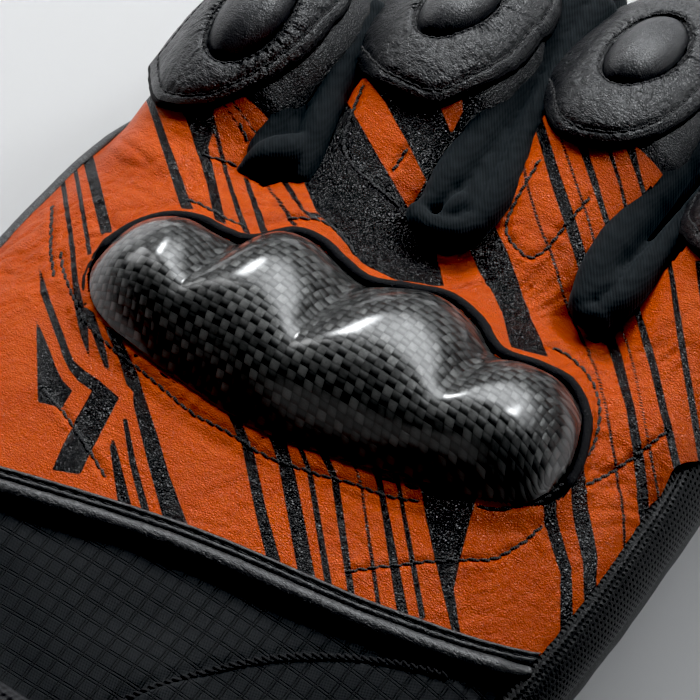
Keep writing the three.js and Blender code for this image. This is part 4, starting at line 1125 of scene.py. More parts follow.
def make_stitches():
    parts, tw = [], []
    for k, line in enumerate(STITCH_3D):
        p = resample(chaikin(line, 2), 0.5)
        z = back_height(p[:, 0], p[:, 1])
        d = back_relief(p[:, 0], p[:, 1])
        q = np.stack([p[:, 0], p[:, 1], z + d + 0.05], 1)
        e = 0.4
        gx = (back_height(p[:, 0] + e, p[:, 1]) - back_height(p[:, 0] - e, p[:, 1])) / (2 * e)
        gy = (back_height(p[:, 0], p[:, 1] + e) - back_height(p[:, 0], p[:, 1] - e)) / (2 * e)
        nr = np.stack([-gx, -gy, np.ones(len(p))], 1)
        nr /= np.linalg.norm(nr, axis=1, keepdims=True)
        a, b = stitch_run(q, nrm=nr, seed=k)
        if not a:
            continue
        parts += a
        tw += b
    v, f = join(parts)
    ob = new_mesh("back_stitches", v, f, [M_THREAD], attrs={"twist": np.concatenate(tw)})
    return piece(ob, "black_leather")


# ---- knuckle patches and their pads ---------------------------------------------
def patch_ground(f, x, y):
    """What a patch lies on: the finger's top, flared out past its sides."""
    at = np.clip((y - ROOT) / (f[4] - ROOT), 0, 1)
    half, high, zc = f[3] * S_WIDE(at), S_HIGH(at), S_Z(at)
    u = np.abs(x - finger_x(f, y)) / half
    ue = np.minimum(u, 0.86)
    z = zc + high * (1 - ue**2.3) ** (1 / 2.3)
    slope = 9.5
    z = z - np.clip(u - 0.86, 0, 3) * slope * 1.5
    return smax(z, skin(x, y) - 0.05 * np.clip(y - 20, 0, 40) ** 2, 2.0)


PATCH_NEAR = {  # lower boundary of each patch in the picture, from its left end round the near side
    "little": [(148.7, 72.5), (151, 100), (158, 108.5), (185, 112.5), (212.5, 110), (232.5, 101), (260, 88.5), (290, 73), (315, 51), (334, 26)],
    "ring": [(340, 30), (345, 48), (352, 64), (370, 83), (400, 98), (432.5, 112), (465, 98.5), (500, 82), (524, 68), (540, 45)],
    "middle": [(530, 75), (542, 100), (549, 130), (570, 143), (600, 150), (625, 149.5), (650, 143), (676, 130), (700, 112), (722, 88)],
}
PAD_SHIFT = {"little": (-1.3, 1.0), "ring": (-1.2, 0.0), "middle": (0.0, 1.0), "index": (0.0, 1.0)}


def patch_outline(f):
    """Closed plan outline of a finger's padded patch, counter-clockwise from the left end of its near edge."""
    if f[0] in PATCH_NEAR:
        px = resample(chaikin(PATCH_NEAR[f[0]], 1), 6.0)
        z = np.full(len(px), 30.0)
        for _ in range(60):
            q = on_height(px, z)
            z = 0.75 * z + 0.25 * np.clip(patch_ground(f, q[:, 0], q[:, 1]) + 0.4, 14, 45)
        near = q[:, :2]
    else:
        near = chaikin(PETALS[f[0]], 1)
    a, b = near[0], near[-1]
    top = f[6] + 2.0
    t = np.linspace(0, np.pi, 40)[1:-1]
    yc = b[1] * (1 - t / np.pi) + a[1] * (t / np.pi)
    cx, rx = (a[0] + b[0]) / 2, (b[0] - a[0]) / 2
    far = np.stack([cx + rx * np.cos(t) * np.abs(np.cos(t)) ** -0.25, yc + (top - yc) * np.sin(t) ** 0.8], 1)
    return np.concatenate([near, far])


def ray_reach(centre, ang, loop):
    """Distance from a centre to a closed outline along each angle."""
    d = np.stack([np.cos(ang), np.sin(ang)], 1)
    a, b = loop, np.roll(loop, -1, 0)
    e = b - a
    best = np.full(len(ang), 1e9)
    for i in range(len(a)):
        den = d[:, 0] * e[i, 1] - d[:, 1] * e[i, 0]
        w = a[i] - centre
        with np.errstate(divide="ignore", invalid="ignore"):
            t = (w[0] * e[i, 1] - w[1] * e[i, 0]) / den
            u = (w[0] * d[:, 1] - w[1] * d[:, 0]) / den
        ok = (t > 0) & (u >= -1e-6) & (u <= 1 + 1e-6)
        best = np.where(ok & (t < best), t, best)
    return best


PAD_HALF, PAD_LONG = 5.0, 9.4


def make_patch(f, k):
    """Padded leather patch: puffed between its sewn edge and the oval pad, gathered towards the pad, with a raw cut border."""
    loop = patch_outline(f)
    c = np.array([f[7], f[8]]) + PAD_SHIFT[f[0]]
    na, nr = 380, 46
    ang = np.linspace(0, 2 * np.pi, na, endpoint=False)
    out = ray_reach(c, ang, loop)
    for _ in range(2):
        out = 0.25 * np.roll(out, 1) + 0.5 * out + 0.25 * np.roll(out, -1)
    inn = 1 / np.sqrt((np.cos(ang) / (PAD_HALF + 0.2)) ** 2 + (np.sin(ang) / (PAD_LONG + 0.2)) ** 2)
    out = np.maximum(out, inn + 1.5)
    edge_noise = 0.22 * noise3(np.stack([np.cos(ang) * 7, np.sin(ang) * 7, np.full(na, k * 3.3)], 1)) + 0.12 * noise3(np.stack([np.cos(ang) * 19, np.sin(ang) * 19, np.full(na, k * 3.3)], 1))
    out = out + edge_noise
    s = np.linspace(0, 1, nr + 1)
    R = (inn - 0.6)[:, None] * (1 - s)[None] + out[:, None] * s[None]
    X = c[0] + R * np.cos(ang)[:, None]
    Y = c[1] + R * np.sin(ang)[:, None]
    from_pad = R - inn[:, None]
    to_edge = out[:, None] - R
    g = patch_ground(f, X, Y)
    puff = 1.9 + 2.8 * (1 - np.exp(-np.clip(to_edge, 0, None) / 2.6))
    puff = puff - 0.34 * np.exp(-(((to_edge - 1.55) / 0.40) ** 2))
    puff = puff - 1.6 * np.exp(-((np.clip(from_pad, 0, None) / 0.95) ** 2)) - 0.9 * (from_pad < 0)
    A = np.repeat(ang[:, None], nr + 1, 1)
    seed = 20 + 3 * k
    wav = noise3(np.stack([np.cos(A) * 5, np.sin(A) * 5, R * 0.12 + seed], -1))
    gather = np.sin(A * 46 + 5 * wav) * 0.5 + np.sin(A * 29 + 7 * wav + 1) * 0.5
    relief = 0.17 * gather * np.exp(-np.clip(from_pad - 0.6, 0, None) / 2.2) * smooth(0.1, 1.0, from_pad)
    edge_gather = np.sin(A * 64 + 9 * wav)
    relief += 0.05 * edge_gather * np.exp(-(((to_edge - 1.6) / 0.9) ** 2))
    body = smooth(0.3, 2.0, to_edge) * smooth(0.2, 1.2, from_pad)

    def rays(size, stretch, seed_):
        """Creases that run out from the pad, wandering a little."""
        w = 0.5 * noise2(X, Y, 3.5, seed_ + 9)
        q = np.stack([np.cos(A + w * 0.12) * 9.0, np.sin(A + w * 0.12) * 9.0, R / stretch], -1) / size
        return np.clip(1 - 2.4 * np.abs(noise3(q + seed_)), 0, 1)

    fade_ = np.exp(-np.clip(from_pad - 1.0, 0, None) / 5.5)
    strong = 0.35 + 0.65 * smooth(-0.15, 0.25, noise2(X, Y, 5.0, seed + 2))
    relief -= body * strong * (0.42 * fade_ * rays(1.7, 3.6, seed) ** 2 + 0.22 * rays(0.9, 2.6, seed + 1) ** 2)
    c2 = creases(X, Y, 1.3, seed + 1, 2.2 + k, 2.0)
    c3 = creases(X, Y, 0.9, seed + 2, 0.2 + k, 1.5)
    relief -= body * (0.10 * (1 - c2) ** 2 + 0.05 * (1 - c3) ** 2)
    relief += 0.30 * noise2(X, Y, 6.0, seed) * body
    Z = g + puff + relief
    P = np.stack([X, Y, Z], -1)
    # the cut edge: over the rim and down
    rim = []
    for dn, o in ((0.10, 0.10), (0.5, 0.16), (1.0, 0.12), (1.5, 0.02), (1.75, -0.3), (2.1, -1.8)):
        x, y = c[0] + (out + o) * np.cos(ang), c[1] + (out + o) * np.sin(ang)
        rim.append(np.stack([x, y, Z[:, -1] - dn + 0.10 * noise2(x, y, 0.6, dn)], -1))
    P = np.concatenate([P, np.stack(rim, 1)], 1)
    m = P.shape[1]
    faces = grid_faces(na, m, wrap_n=True)
    mat = (np.tile(np.arange(m - 1), na) >= nr - 1).astype(int)
    # the band of raw fuzz also laps onto the top for about a millimetre
    lap = to_edge < 0.30 + 0.25 * noise2(X, Y, 0.8, 5 + k)
    face_i, face_j = np.divmod(np.arange(na * (m - 1)), m - 1)
    mat = np.where((face_j < nr) & lap[face_i, np.minimum(face_j, nr)], 1, mat)
    ob = new_mesh("patch_" + f[0], P.reshape(-1, 3), faces, [M_PATCH, M_RAW], face_mat=mat)
    flip_up(ob)
    piece(ob, "patch_leather", "knuckle_patch_" + f[0])

    # the oval pad swelling out of the middle
    nr2 = 16
    s2 = np.linspace(0, 1, nr2 + 1)
    ring = 1 / np.sqrt((np.cos(ang) / (PAD_HALF + 0.1)) ** 2 + (np.sin(ang) / (PAD_LONG + 0.1)) ** 2)
    Rp = ring[:, None] * s2[None]
    Xp, Yp = c[0] + Rp * np.cos(ang)[:, None], c[1] + Rp * np.sin(ang)[:, None]
    Gp = patch_ground(f, Xp, Yp)
    dome = (1 - s2**2.3) ** 0.62
    Zp = Gp + 3.1 + 3.6 * dome[None] + 0.09 * noise2(Xp, Yp, 4.0, seed) - 0.03 * (1 - creases(Xp, Yp, 1.8, seed + 5, 1.1, 2.4)) ** 2
    Pp = np.stack([Xp, Yp, Zp], -1)
    skirt = np.stack([Xp[:, -1] * 1.0, Yp[:, -1], Zp[:, -1] - 1.6], -1)[:, None]
    Pp = np.concatenate([Pp, skirt], 1)
    pad = new_mesh("pad_" + f[0], Pp.reshape(-1, 3), grid_faces(na, nr2 + 2, wrap_n=True), [M_PAD])
    flip_up(pad)
    piece(pad, "pad_leather", "knuckle_pad_" + f[0])

    # thread round the pad and along the patch's edge
    def on_patch(r_of, lift):
        r = r_of
        x, y = c[0] + r * np.cos(ang), c[1] + r * np.sin(ang)
        i = np.clip((r - (inn - 0.6)) / (out - (inn - 0.6)) * nr, 0, nr - 1e-6)
        i0 = i.astype(int)
        w = i - i0
        z = Z[np.arange(na), i0] * (1 - w) + Z[np.arange(na), i0 + 1] * w
        return np.stack([x, y, z + lift], 1)

    ring_a = on_patch(inn + 0.75, 0.10)
    ring_b = on_patch(out - 1.55, 0.04)
    parts, tw = [], []
    for i, (q, ln, gp) in enumerate(((ring_a, 1.25, 0.35), (ring_b, 1.7, 0.45))):
        q = resample(np.concatenate([q, q[:1]]), 0.35)
        a, b = stitch_run(q, ln, gp, 0.19, 0.05, seed=50 + k * 2 + i, wave=0.12)
        parts += a
        tw += b
    v, fa = join(parts)
    th = new_mesh("patch_stitches_" + f[0], v, fa, [M_THREAD], attrs={"twist": np.concatenate(tw)})
    piece(th, "patch_leather")


# ---- fingers ------------------------------------------------------------------------
def finger_ring(f, y, ang, lift=0.0):
    """Points of a finger's skin at y for angles measured from +X over the top."""
    y = np.asarray(y, float)[:, None]
    a = np.asarray(ang, float)[None]
    at = np.clip((y - ROOT) / (f[4] - ROOT), 0, 1)
    half, high, zc = f[3] * S_WIDE(at), S_HIGH(at), S_Z(at)
    k = np.sqrt(np.clip(1 - np.clip((y - (f[4] - TIP_ROUND)) / TIP_ROUND, 0, 1) ** 2.2, 0.0004, 1))
    e = 2 / 2.3
    x = finger_x(f, y) + (half * k + lift) * np.sign(np.cos(a)) * np.abs(np.cos(a)) ** e
    z = zc + (high * k + lift) * np.sign(np.sin(a)) * np.abs(np.sin(a)) ** e
    z = np.where(z < 1.2, 1.2 * np.exp(np.clip(z - 1.2, -12, 0) / 2.4), z)
    return np.stack([x, np.broadcast_to(y, x.shape), z], -1)


def finger_rows(f, y0, step=1.0):
    body = np.arange(y0, f[4] - TIP_ROUND, step)
    t = np.linspace(0, np.pi / 2, 26)
    return np.concatenate([body, f[4] - TIP_ROUND + TIP_ROUND * np.sin(t)])


def wrap_relief(P, seed, amp=0.14, size=3.2):
    """Wrinkles along a tube's skin, as a height along its normals."""
    du, dv = np.gradient(P, axis=1), np.gradient(P, axis=0)
    n = np.cross(du, dv)
    n /= np.linalg.norm(n, axis=-1, keepdims=True) + 1e-9
    x, y = P[..., 0] + P[..., 2] * 0.8, P[..., 1]
    c1 = creases(x, y, size, seed, 0.15, 2.6)
    c2 = creases(x, y, size * 0.5, seed + 1, 0.5, 2.0)
    h = 0.35 * noise3(P / 9 + seed) - amp * (1 - c1) ** 2 - amp * 0.5 * (1 - c2) ** 2
    return n, h


def make_finger(f, i):
    """Back and front leather of one finger, with knit down each side that faces another finger."""
    left_knit, right_knit = i > 0, i < 3
    deg = np.pi / 180
    split_r, split_l = (30 * deg if right_knit else 8 * deg), (150 * deg if left_knit else 172 * deg)
    low_r, low_l = (-30 * deg if right_knit else 8 * deg), (210 * deg if left_knit else 172 * deg)
    rows = finger_rows(f, max(26, f[5] - 8))
    a = np.linspace(split_r, split_l, 64)
    P = finger_ring(f, rows, a)
    n, h = wrap_relief(P, 60 + i * 4)
    tip = smooth(f[4] - 3, f[4] - 10, rows)[:, None]
    sign = np.sign((n * (P - np.stack([finger_x(f, P[..., 1]), P[..., 1], S_Z(np.clip((P[..., 1] - ROOT) / (f[4] - ROOT), 0, 1))], -1))).sum(-1).mean())
    sink = 0.9 * smooth(f[5] + 4.5, f[5] + 2.0, rows)[:, None]
    P2 = P + sign * n * (h * tip - sink)[..., None]
    back = new_mesh("finger_back_skin_" + f[0], P2.reshape(-1, 3), grid_faces(len(rows), len(a)), [M_LEATHER])
    centre = lambda c: np.stack([finger_x(f, c[:, 1]), c[:, 1], S_Z(np.clip((c[:, 1] - ROOT) / (f[4] - ROOT), 0, 1))], -1)
    flip_up(back, centre)
    piece(back, "black_leather", "finger_back_" + f[0])

    rows = finger_rows(f, 22, 1.2)
    a = np.linspace(low_l, 360 * deg + low_r, 60)
    P = finger_ring(f, rows, a)
    n, h = wrap_relief(P, 80 + i * 4, 0.1)
    lying = smooth(0.6, 3.0, P[..., 2])
    P2 = P + sign * 0 * n + np.sign((n * (P - np.stack([finger_x(f, P[..., 1]), P[..., 1], S_Z(np.clip((P[..., 1] - ROOT) / (f[4] - ROOT), 0, 1))], -1))).sum(-1).mean()) * n * (h * lying * smooth(f[4] - 3, f[4] - 10, rows)[:, None])[..., None]
    P2[..., 2] = np.maximum(P2[..., 2], 0.02)
    front = new_mesh("finger_front_skin_" + f[0], P2.reshape(-1, 3), grid_faces(len(rows), len(a)), [M_PALM])
    flip_up(front, centre)
    piece(front, "palm_leather", "finger_front_" + f[0])

    bands = []
    for on, lo, hi in ((right_knit, low_r, split_r), (left_knit, split_l, low_l)):
        if not on:
            bands.append(None)
            continue
        rows = np.concatenate([np.arange(24, f[4] - TIP_ROUND, 0.9), f[4] - TIP_ROUND + TIP_ROUND * np.sin(np.linspace(0, np.pi / 2, 18))])
        a = np.linspace(lo, hi, 26)
        P = finger_ring(f, rows, a, -0.05)
        n, _ = wrap_relief(P, 3)
        out = np.sign((n * (P - np.stack([finger_x(f, P[..., 1]), P[..., 1], S_Z(np.clip((P[..., 1] - ROOT) / (f[4] - ROOT), 0, 1))], -1))).sum(-1).mean())
        u = (a - lo) / (hi - lo)
        puff = 0.7 * np.sin(np.pi * u)[None] * smooth(f[4] - 2, f[4] - 12, rows)[:, None] - 0.25 + 0.35 * noise2(P[..., 1], P[..., 2], 5, 3 + i)
        bands.append((P + out * n * puff[..., None], len(rows), len(a), centre))
    return bands


def knit_uv(P):
    """Coordinates for the ribs, in mm, along and round the folds."""
    return np.stack([P[:, 0] * 0.75 + P[:, 1] * 0.55, P[:, 2] + 0.3 * P[:, 1], P[:, 1]], 1)


def make_fourchette(name, bands):
    """Bunched stretch knit between two fingers: round folds melted together, and a strip down each finger's side."""
    parts = []
    for k, strand in enumerate(FOLDS[name]):
        s = np.array(strand, float)
        pts = on_height(s[:, :2], s[:, 2] + 1.2)
        p = np.concatenate([pts, s[:, 3:4] * 1.12], 1)
        p = resample(chaikin(p, 2), 0.5)
        cap = []
        for end, d in ((0, -1), (-1, 1)):
            t = p[end, :3] - p[1 if end == 0 else -2, :3]
            t /= np.linalg.norm(t)
            r = p[end, 3]
            c = [np.concatenate([p[end, :3] + t * r * np.sin(a), [r * max(np.cos(a), 0.05)]]) for a in np.linspace(0.25, np.pi / 2, 5)]
            cap.append(np.array(c if end == -1 else c[::-1]))
        p = np.concatenate([cap[0], p, cap[1]])
        wob = 1 + 0.05 * noise3(p[:, :3] / 3 + k)
        parts.append(tube(p[:, :3], p[:, 3] * wob, 20, squash=1.15))
    v, f = join(parts)
    ob = new_mesh("knit_" + name, v, f, [M_KNIT])
    bpy.context.view_layer.objects.active = ob
    m = ob.modifiers.new("weld", "REMESH")
    m.mode, m.voxel_size = "VOXEL", 0.00048
    sm = ob.modifiers.new("soften", "SMOOTH")
    sm.factor, sm.iterations = 0.5, 4
    dg = bpy.context.evaluated_depsgraph_get()
    me = bpy.data.meshes.new_from_object(ob.evaluated_get(dg))
    P = np.empty(len(me.vertices) * 3, np.float32)
    N = np.empty(len(me.vertices) * 3, np.float32)
    me.vertices.foreach_get("co", P)
    me.vertices.foreach_get("normal", N)
    P, N = P.reshape(-1, 3).astype(float) * 1000 - SHIFT, N.reshape(-1, 3)
    h = 0.12 * noise3(P / 1.7) + 0.22 * noise3(P / 4.2 + 5)
    P = P + N * h[:, None]
    faces = np.empty(len(me.polygons) * 4, np.int32)
    sizes = np.empty(len(me.polygons), np.int32)
    me.polygons.foreach_get("loop_total", sizes)
    loops = np.empty(len(me.loops), np.int32)
    me.loops.foreach_get("vertex_index", loops)
    if (sizes == 4).all():
        faces = loops.reshape(-1, 4)
    else:
        cut = np.concatenate([[0], np.cumsum(sizes)])
        faces = [loops[a:b].tolist() for a, b in zip(cut[:-1], cut[1:])]
    bpy.data.objects.remove(ob)
    folds = new_mesh("knit_folds_" + name, P, faces, [M_KNIT], attrs={"uvw": knit_uv(P)})
    flip_centre(folds)
    piece(folds, "stretch_knit", "fourchette_" + name)
    for side, b in zip(("a", "b"), bands):
        Q, n, m_, centre = b
        st = new_mesh("knit_side_%s_%s" % (name, side), Q.reshape(-1, 3), grid_faces(n, m_), [M_KNIT], attrs={"uvw": knit_uv(Q.reshape(-1, 3))})
        flip_up(st, centre)
        piece(st, "stretch_knit")


# ---- hand, wrist and cuff -------------------------------------------------------------
def lower_z(x, y, off=0.0):
    u = np.clip(np.abs((x - H_XC(y)) / H_HALF(y)), 0, 1)
    return np.maximum(0.0, H_MID(y) - (H_MID(y) + 4) * (1 - u ** H_N(y)) ** (1 / H_N(y)))


def ring_points(y, kind, m, lift=0.0, drop=0.0):
    """Evenly spaced points of the hand's section at y. kind: over (left split to right split across the back), side (the strip below the right split), under (the rest)."""
    t = np.linspace(0, 2 * np.pi, 2400)
    k = 2 / H_N(y)
    c, s = np.cos(t), np.sin(t)
    x = H_XC(y) - (H_HALF(y) + lift) * np.sign(c) * np.abs(c) ** k
    up = H_MID(y) + (H_TOP(y) - H_MID(y) + lift) * np.abs(s) ** k
    dn = H_MID(y) - (H_MID(y) + 4 + lift) * np.abs(s) ** k
    z = np.where(s >= 0, up, dn)
    z = np.where(z < 1.5, 1.5 * np.exp(np.clip(z - 1.5, -12, 0) / 3.0), z)
    right = x > H_XC(y)
    sp = split_z(x)
    over = z >= sp - 1e-6
    side = right & (z < sp) & (z >= sp - BAND - drop)
    pick = {"over": over, "side": side, "under": ~(over | side)}[kind]
    if kind == "over":
        i = np.where(pick)[0]
        order = np.concatenate([i[i > 1800], i[i <= 1800]])
    elif kind == "side":
        order = np.where(pick)[0]
    else:
        i = np.where(pick)[0]
        order = np.concatenate([i[i > 1100], i[i < 600]])
    x, z = x[order], z[order]
    ln = np.concatenate([[0], np.cumsum(np.hypot(np.diff(x), np.diff(z)))])
    q = np.linspace(0, ln[-1], m)
    return np.stack([np.interp(q, ln, x), np.full(m, y), np.interp(q, ln, z)], 1), q - ln[-1] / 2


def loft(kind, ys, m, lift=0.0, drop=0.0):
    rows, us = zip(*[ring_points(y, kind, m, lift, drop) for y in ys])
    P = np.stack(rows)
    U = np.stack(us)
    return P, U


def hand_centre(c):
    return np.stack([H_XC(c[:, 1]), c[:, 1], H_MID(c[:, 1])], -1)


def outward(P):
    du, dv = np.gradient(P, axis=1), np.gradient(P, axis=0)
    n = np.cross(du, dv)
    n /= np.linalg.norm(n, axis=-1, keepdims=True) + 1e-9
    c = np.stack([H_XC(P[..., 1]), P[..., 1], H_MID(P[..., 1])], -1)
    return n * np.sign((n * (P - c)).sum(-1).mean())


OVERCAST = on_surface(chaikin([(96, 716), (129, 699), (165, 685), (208, 673), (240, 665), (277, 659), (312, 657), (348, 659), (380, 662), (415, 668), (450, 678)], 2), back_height, start=36.0)[:, :2]
WRIST_FOLDS = [  # run, width, depth: dents across the fabric from the piping towards the cuff
    ((-58, -70), (-30, -104), 4.5, 1.5), ((-46, -62), (-10, -100), 5.5, -0.9), ((-52, -92), (-20, -118), 4.0, 1.1), ((-20, -62), (22, -92), 6.0, 0.9), ((8, -60), (46, -82), 5.0, -0.6),
]


def make_wrist():
    """Ripstop over the wrist, from the piping to the cuff."""
    ys = np.arange(-101, -18, 0.8)
    P, U = loft("over", ys, 200)
    n = outward(P)
    x, y = P[..., 0], P[..., 1]
    h = 0.5 * noise2(x, y, 16, 31) + 0.2 * noise2(x, y, 6, 32)
    for a, b, w, d in WRIST_FOLDS:
        r, s = line_distance(np.stack([x.ravel(), y.ravel()], 1), chaikin([a, ((a[0] + b[0]) / 2 + 2, (a[1] + b[1]) / 2 - 3), b], 2))
        r = r.reshape(x.shape)
        h -= d * np.exp(-((r / w) ** 2))
    gap = SEAM(x) - 3.4 - y
    h -= 1.0 * np.exp(-np.clip(gap, -5, 50) / 3.0)
    r, s = line_distance(np.stack([x.ravel(), y.ravel()], 1), OVERCAST)
    beyond = inside(np.stack([x.ravel(), y.ravel()], 1), np.concatenate([OVERCAST, [[70, OVERCAST[-1, 1]], [70, -130], [OVERCAST[0, 0], -130]]]))
    signed = np.where(beyond, r, -r).reshape(x.shape)
    h += 0.75 * smooth(-0.3, 0.5, signed) - 0.25 * np.exp(-(((signed + 0.9) / 0.8) ** 2)) - 0.5
    Q = P + n * h[..., None]
    v = Q.reshape(-1, 3)
    faces = grid_faces(len(ys), 200)
    keep = (gap > -1.0).ravel()
    faces = faces[keep[faces].all(1)]
    uv = np.stack([U.ravel(), y.ravel(), 0 * y.ravel()], 1)
    v, faces, uv = compact(v, faces, uv)
    ob = new_mesh("wrist_fabric", v, faces, [M_RIP], attrs={"uvw": uv})
    flip_up(ob, hand_centre)
    thicken(ob, 1.0, -1)
    piece(ob, "ripstop", "wrist_panel")
    # fuzzy overcast thread along the edge of the upper layer
    p = resample(OVERCAST, 0.3)
    p = p[(SEAM(p[:, 0]) - p[:, 1] > 6) & (np.abs(p[:, 0] - H_XC(p[:, 1])) < H_HALF(p[:, 1]) - 3)]
    q = np.stack([p[:, 0], p[:, 1], skin(p[:, 0], p[:, 1]) + 0.42], 1)
    a, b = stitch_run(q, 1.15, 0.0, 0.30, 0.10, seed=111, wave=0.85)
    v, f = join(a)
    th = new_mesh("overcast_stitches", v, f, [M_RAW], attrs={"twist": np.concatenate(b)})
    return piece(th, "ripstop")


def make_cuff():
    ys = np.arange(-172, -99.4, 1.5)
    for kind, m, node, slot, mat in (("over", 150, "cuff_back", "ripstop", M_RIP), ("under", 130, "cuff_palm", "palm_leather", M_PALM)):
        P, U = loft(kind, ys, m)
        if kind == "under":
            # the strip below the right split belongs to this half too on the cuff
            S, US = loft("side", ys, 16)
            P = np.concatenate([S, P[:, 1:]], 1)
            U = np.concatenate([US - 90, U[:, 1:]], 1)
        n = outward(P)
        x, y = P[..., 0], P[..., 1]
        w = P[..., 0] * 0.9 + P[..., 2] * 0.7
        h = 0.7 * noise2(w, y, 22, 41) + 0.3 * noise2(w, y, 8, 42) - 0.22 * (1 - creases(w, y, 6, 43, 0.2, 2.4)) ** 2
        h = h * smooth(-171.5, -164, y) * (smooth(0.4, 5, P[..., 2]) if kind == "under" else 1)
        h -= 0.3
        Q = P + n * h[..., None]
        Q[..., 2] = np.maximum(Q[..., 2], 0.05)
        uv = np.stack([U.ravel(), y.ravel(), 0 * y.ravel()], 1)
        ob = new_mesh(node + "_skin", Q.reshape(-1, 3), grid_faces(len(ys), P.shape[1]), [mat], attrs={"uvw": uv})
        flip_up(ob, hand_centre)
        thicken(ob, 1.6, -1)
        piece(ob, slot, node)


def make_palm():
    ys = np.arange(-101, 27, 1.4)
    P, U = loft("under", ys, 130)
    n = outward(P)
    w = P[..., 0] * 0.9 + P[..., 2] * 0.7
    y = P[..., 1]
    h = 0.4 * noise2(w, y, 14, 51) - 0.15 * (1 - creases(w, y, 4, 52, 0.4, 2.2)) ** 2
    h = h * smooth(0.4, 4, P[..., 2])
    Q = P + n * h[..., None]
    Q[..., 2] = np.maximum(Q[..., 2], 0.03)
    ob = new_mesh("palm_skin", Q.reshape(-1, 3), grid_faces(len(ys), 130), [M_PALM])
    flip_up(ob, hand_centre)
    thicken(ob, 1.2, -1)
    piece(ob, "palm_leather", "palm_panel")


def make_side_band():
    """Perforated leather along the index side, lapping a little over the back's edge."""
    ys = np.arange(-62, 30, 0.6)
    P, U = loft("side", ys, 40)
    n = outward(P)
    u = np.linspace(0, 1, 40)[None]
    y, w = P[..., 1], P[..., 2]
    h = 0.45 + 0.35 * np.sin(np.pi * u) + 0.25 * noise2(y, w, 7, 61) - 0.5 * np.exp(-((u / 0.05) ** 2))
    h = h - 0.25 * np.exp(-(((u - 0.13) / 0.035) ** 2))
    Q = P + n * h[..., None]
    Q[:, 0, 2] += 0.6
    uv = np.stack([y.ravel(), U.ravel(), 0 * y.ravel()], 1)
    ob = new_mesh("side_band", Q.reshape(-1, 3), grid_faces(len(ys), 40), [M_PERF], attrs={"uvw": uv})
    flip_up(ob, hand_centre)
    thicken(ob, 1.2, -1)
    piece(ob, "perforated_leather", "index_side_band")


def seam_frame(xs, dy, lift):
    """Points beside the wrist seam on the hand's skin: dy towards the wrist, lift above it."""
    y = SEAM(xs) - dy
    z = skin(xs, y) + lift
    return np.stack([xs, y, z], 1)


def make_wrist_edge():
    """Flat bound edge with its sewn groove, and the thick rolled piping behind it."""
    lo, hi = -56.0, 49.5
    xs = np.linspace(lo, hi, 480)
    s = np.concatenate([[0], np.cumsum(np.hypot(np.diff(xs), np.diff(SEAM(xs))))])
    # band
    prof = [(-0.15, 0.15), (0.0, 0.75), (0.25, 1.0), (0.6, 1.05), (0.85, 0.8), (1.0, 0.62), (1.15, 0.8), (1.4, 1.05), (1.75, 1.0), (2.05, 0.75), (2.3, 0.3)]
    prof = chaikin(prof, 1)
    cols = []
    for d, l in prof:
        q = seam_frame(xs, d, l + 0.0)
        cols.append(q)
    P = np.stack(cols, 1)
    j = 0.07 * noise2(np.repeat(s[:, None], P.shape[1], 1), np.repeat(prof[None, :, 0], len(s), 0) * 2.0, 1.3, 71) + 0.10 * noise2(np.repeat(s[:, None], P.shape[1], 1), P[..., 1] * 0 + 1, 5.0, 72)
    P[..., 2] += j
    pucker = -0.16 * np.exp(-(((prof[:, 0] - 1.0) / 0.28) ** 2))[None] * (0.5 + 0.5 * np.sin(2 * np.pi * s / 2.6))[:, None]
    P[..., 2] += pucker
    band = new_mesh("wrist_binding", P.reshape(-1, 3), grid_faces(len(xs), P.shape[1]), [M_PIPE])
    flip_up(band)
    piece(band, "piping")
    # rolled piping
    c = seam_frame(xs, 3.45, 0.35)
    r = 1.42 * (0.72 + 0.28 * smooth(0, 6, s) * smooth(0, 6, s[-1] - s)) + 0.05 * noise2(s, s * 0, 2.2, 75) + 0.08 * noise2(s, s * 0, 9, 76)
    v, f = tube(c, r, 26, squash=0.95)
    v = v.copy()
    body = v[: len(xs) * 26].reshape(len(xs), 26, 3)
    ang = np.arange(26) * 2 * np.pi / 26
    sg, ag = np.meshgrid(s, ang, indexing="ij")
    wr = -0.06 * (1 - creases(sg, ag * 1.4, 1.7, 77, 1.25, 2.0)) ** 2 - 0.04 * (1 - creases(sg, ag * 1.4, 0.9, 78, 1.2, 1.6)) ** 2
    dirs = body - c[:, None]
    dirs /= np.linalg.norm(dirs, axis=-1, keepdims=True)
    body += dirs * wr[..., None]
    v[: len(xs) * 26] = body.reshape(-1, 3)
    roll = new_mesh("wrist_roll", v, f, [M_PIPE])
    flip_centre(roll)
    piece(roll, "piping", "wrist_piping")
    # thread in the groove
    g = seam_frame(np.linspace(lo, hi, 500), 1.0, 0.62)
    a, b = stitch_run(g, 2.1, 0.0, 0.17, 0.03, seed=91, wave=0.10)
    v, f = join(a)
    th = new_mesh("wrist_stitches", v, f, [M_THREAD], attrs={"twist": np.concatenate(b)})
    piece(th, "piping")


def make_side_piping():
    """Leather-covered bead along the little-finger side."""
    ys = np.linspace(-48, 27, 420)
    # on the skin at the left split, swung a little up the side
    pts = []
    for y in ys:
        q, _ = ring_points(y, "over", 200)
        pts.append(q[2])
    c = np.array(pts)
    c[:, 0] -= 0.1
    s = np.concatenate([[0], np.cumsum(np.linalg.norm(np.diff(c, axis=0), axis=1))])
    r = 0.95 + 0.05 * noise2(s, 0 * s, 2.0, 81) + 0.06 * noise2(s, 0 * s, 7.0, 82)
    v, f = tube(c, r, 18)
    ob = new_mesh("side_roll", v, f, [M_PIPE])
    flip_centre(ob)
    piece(ob, "piping", "side_piping_little")


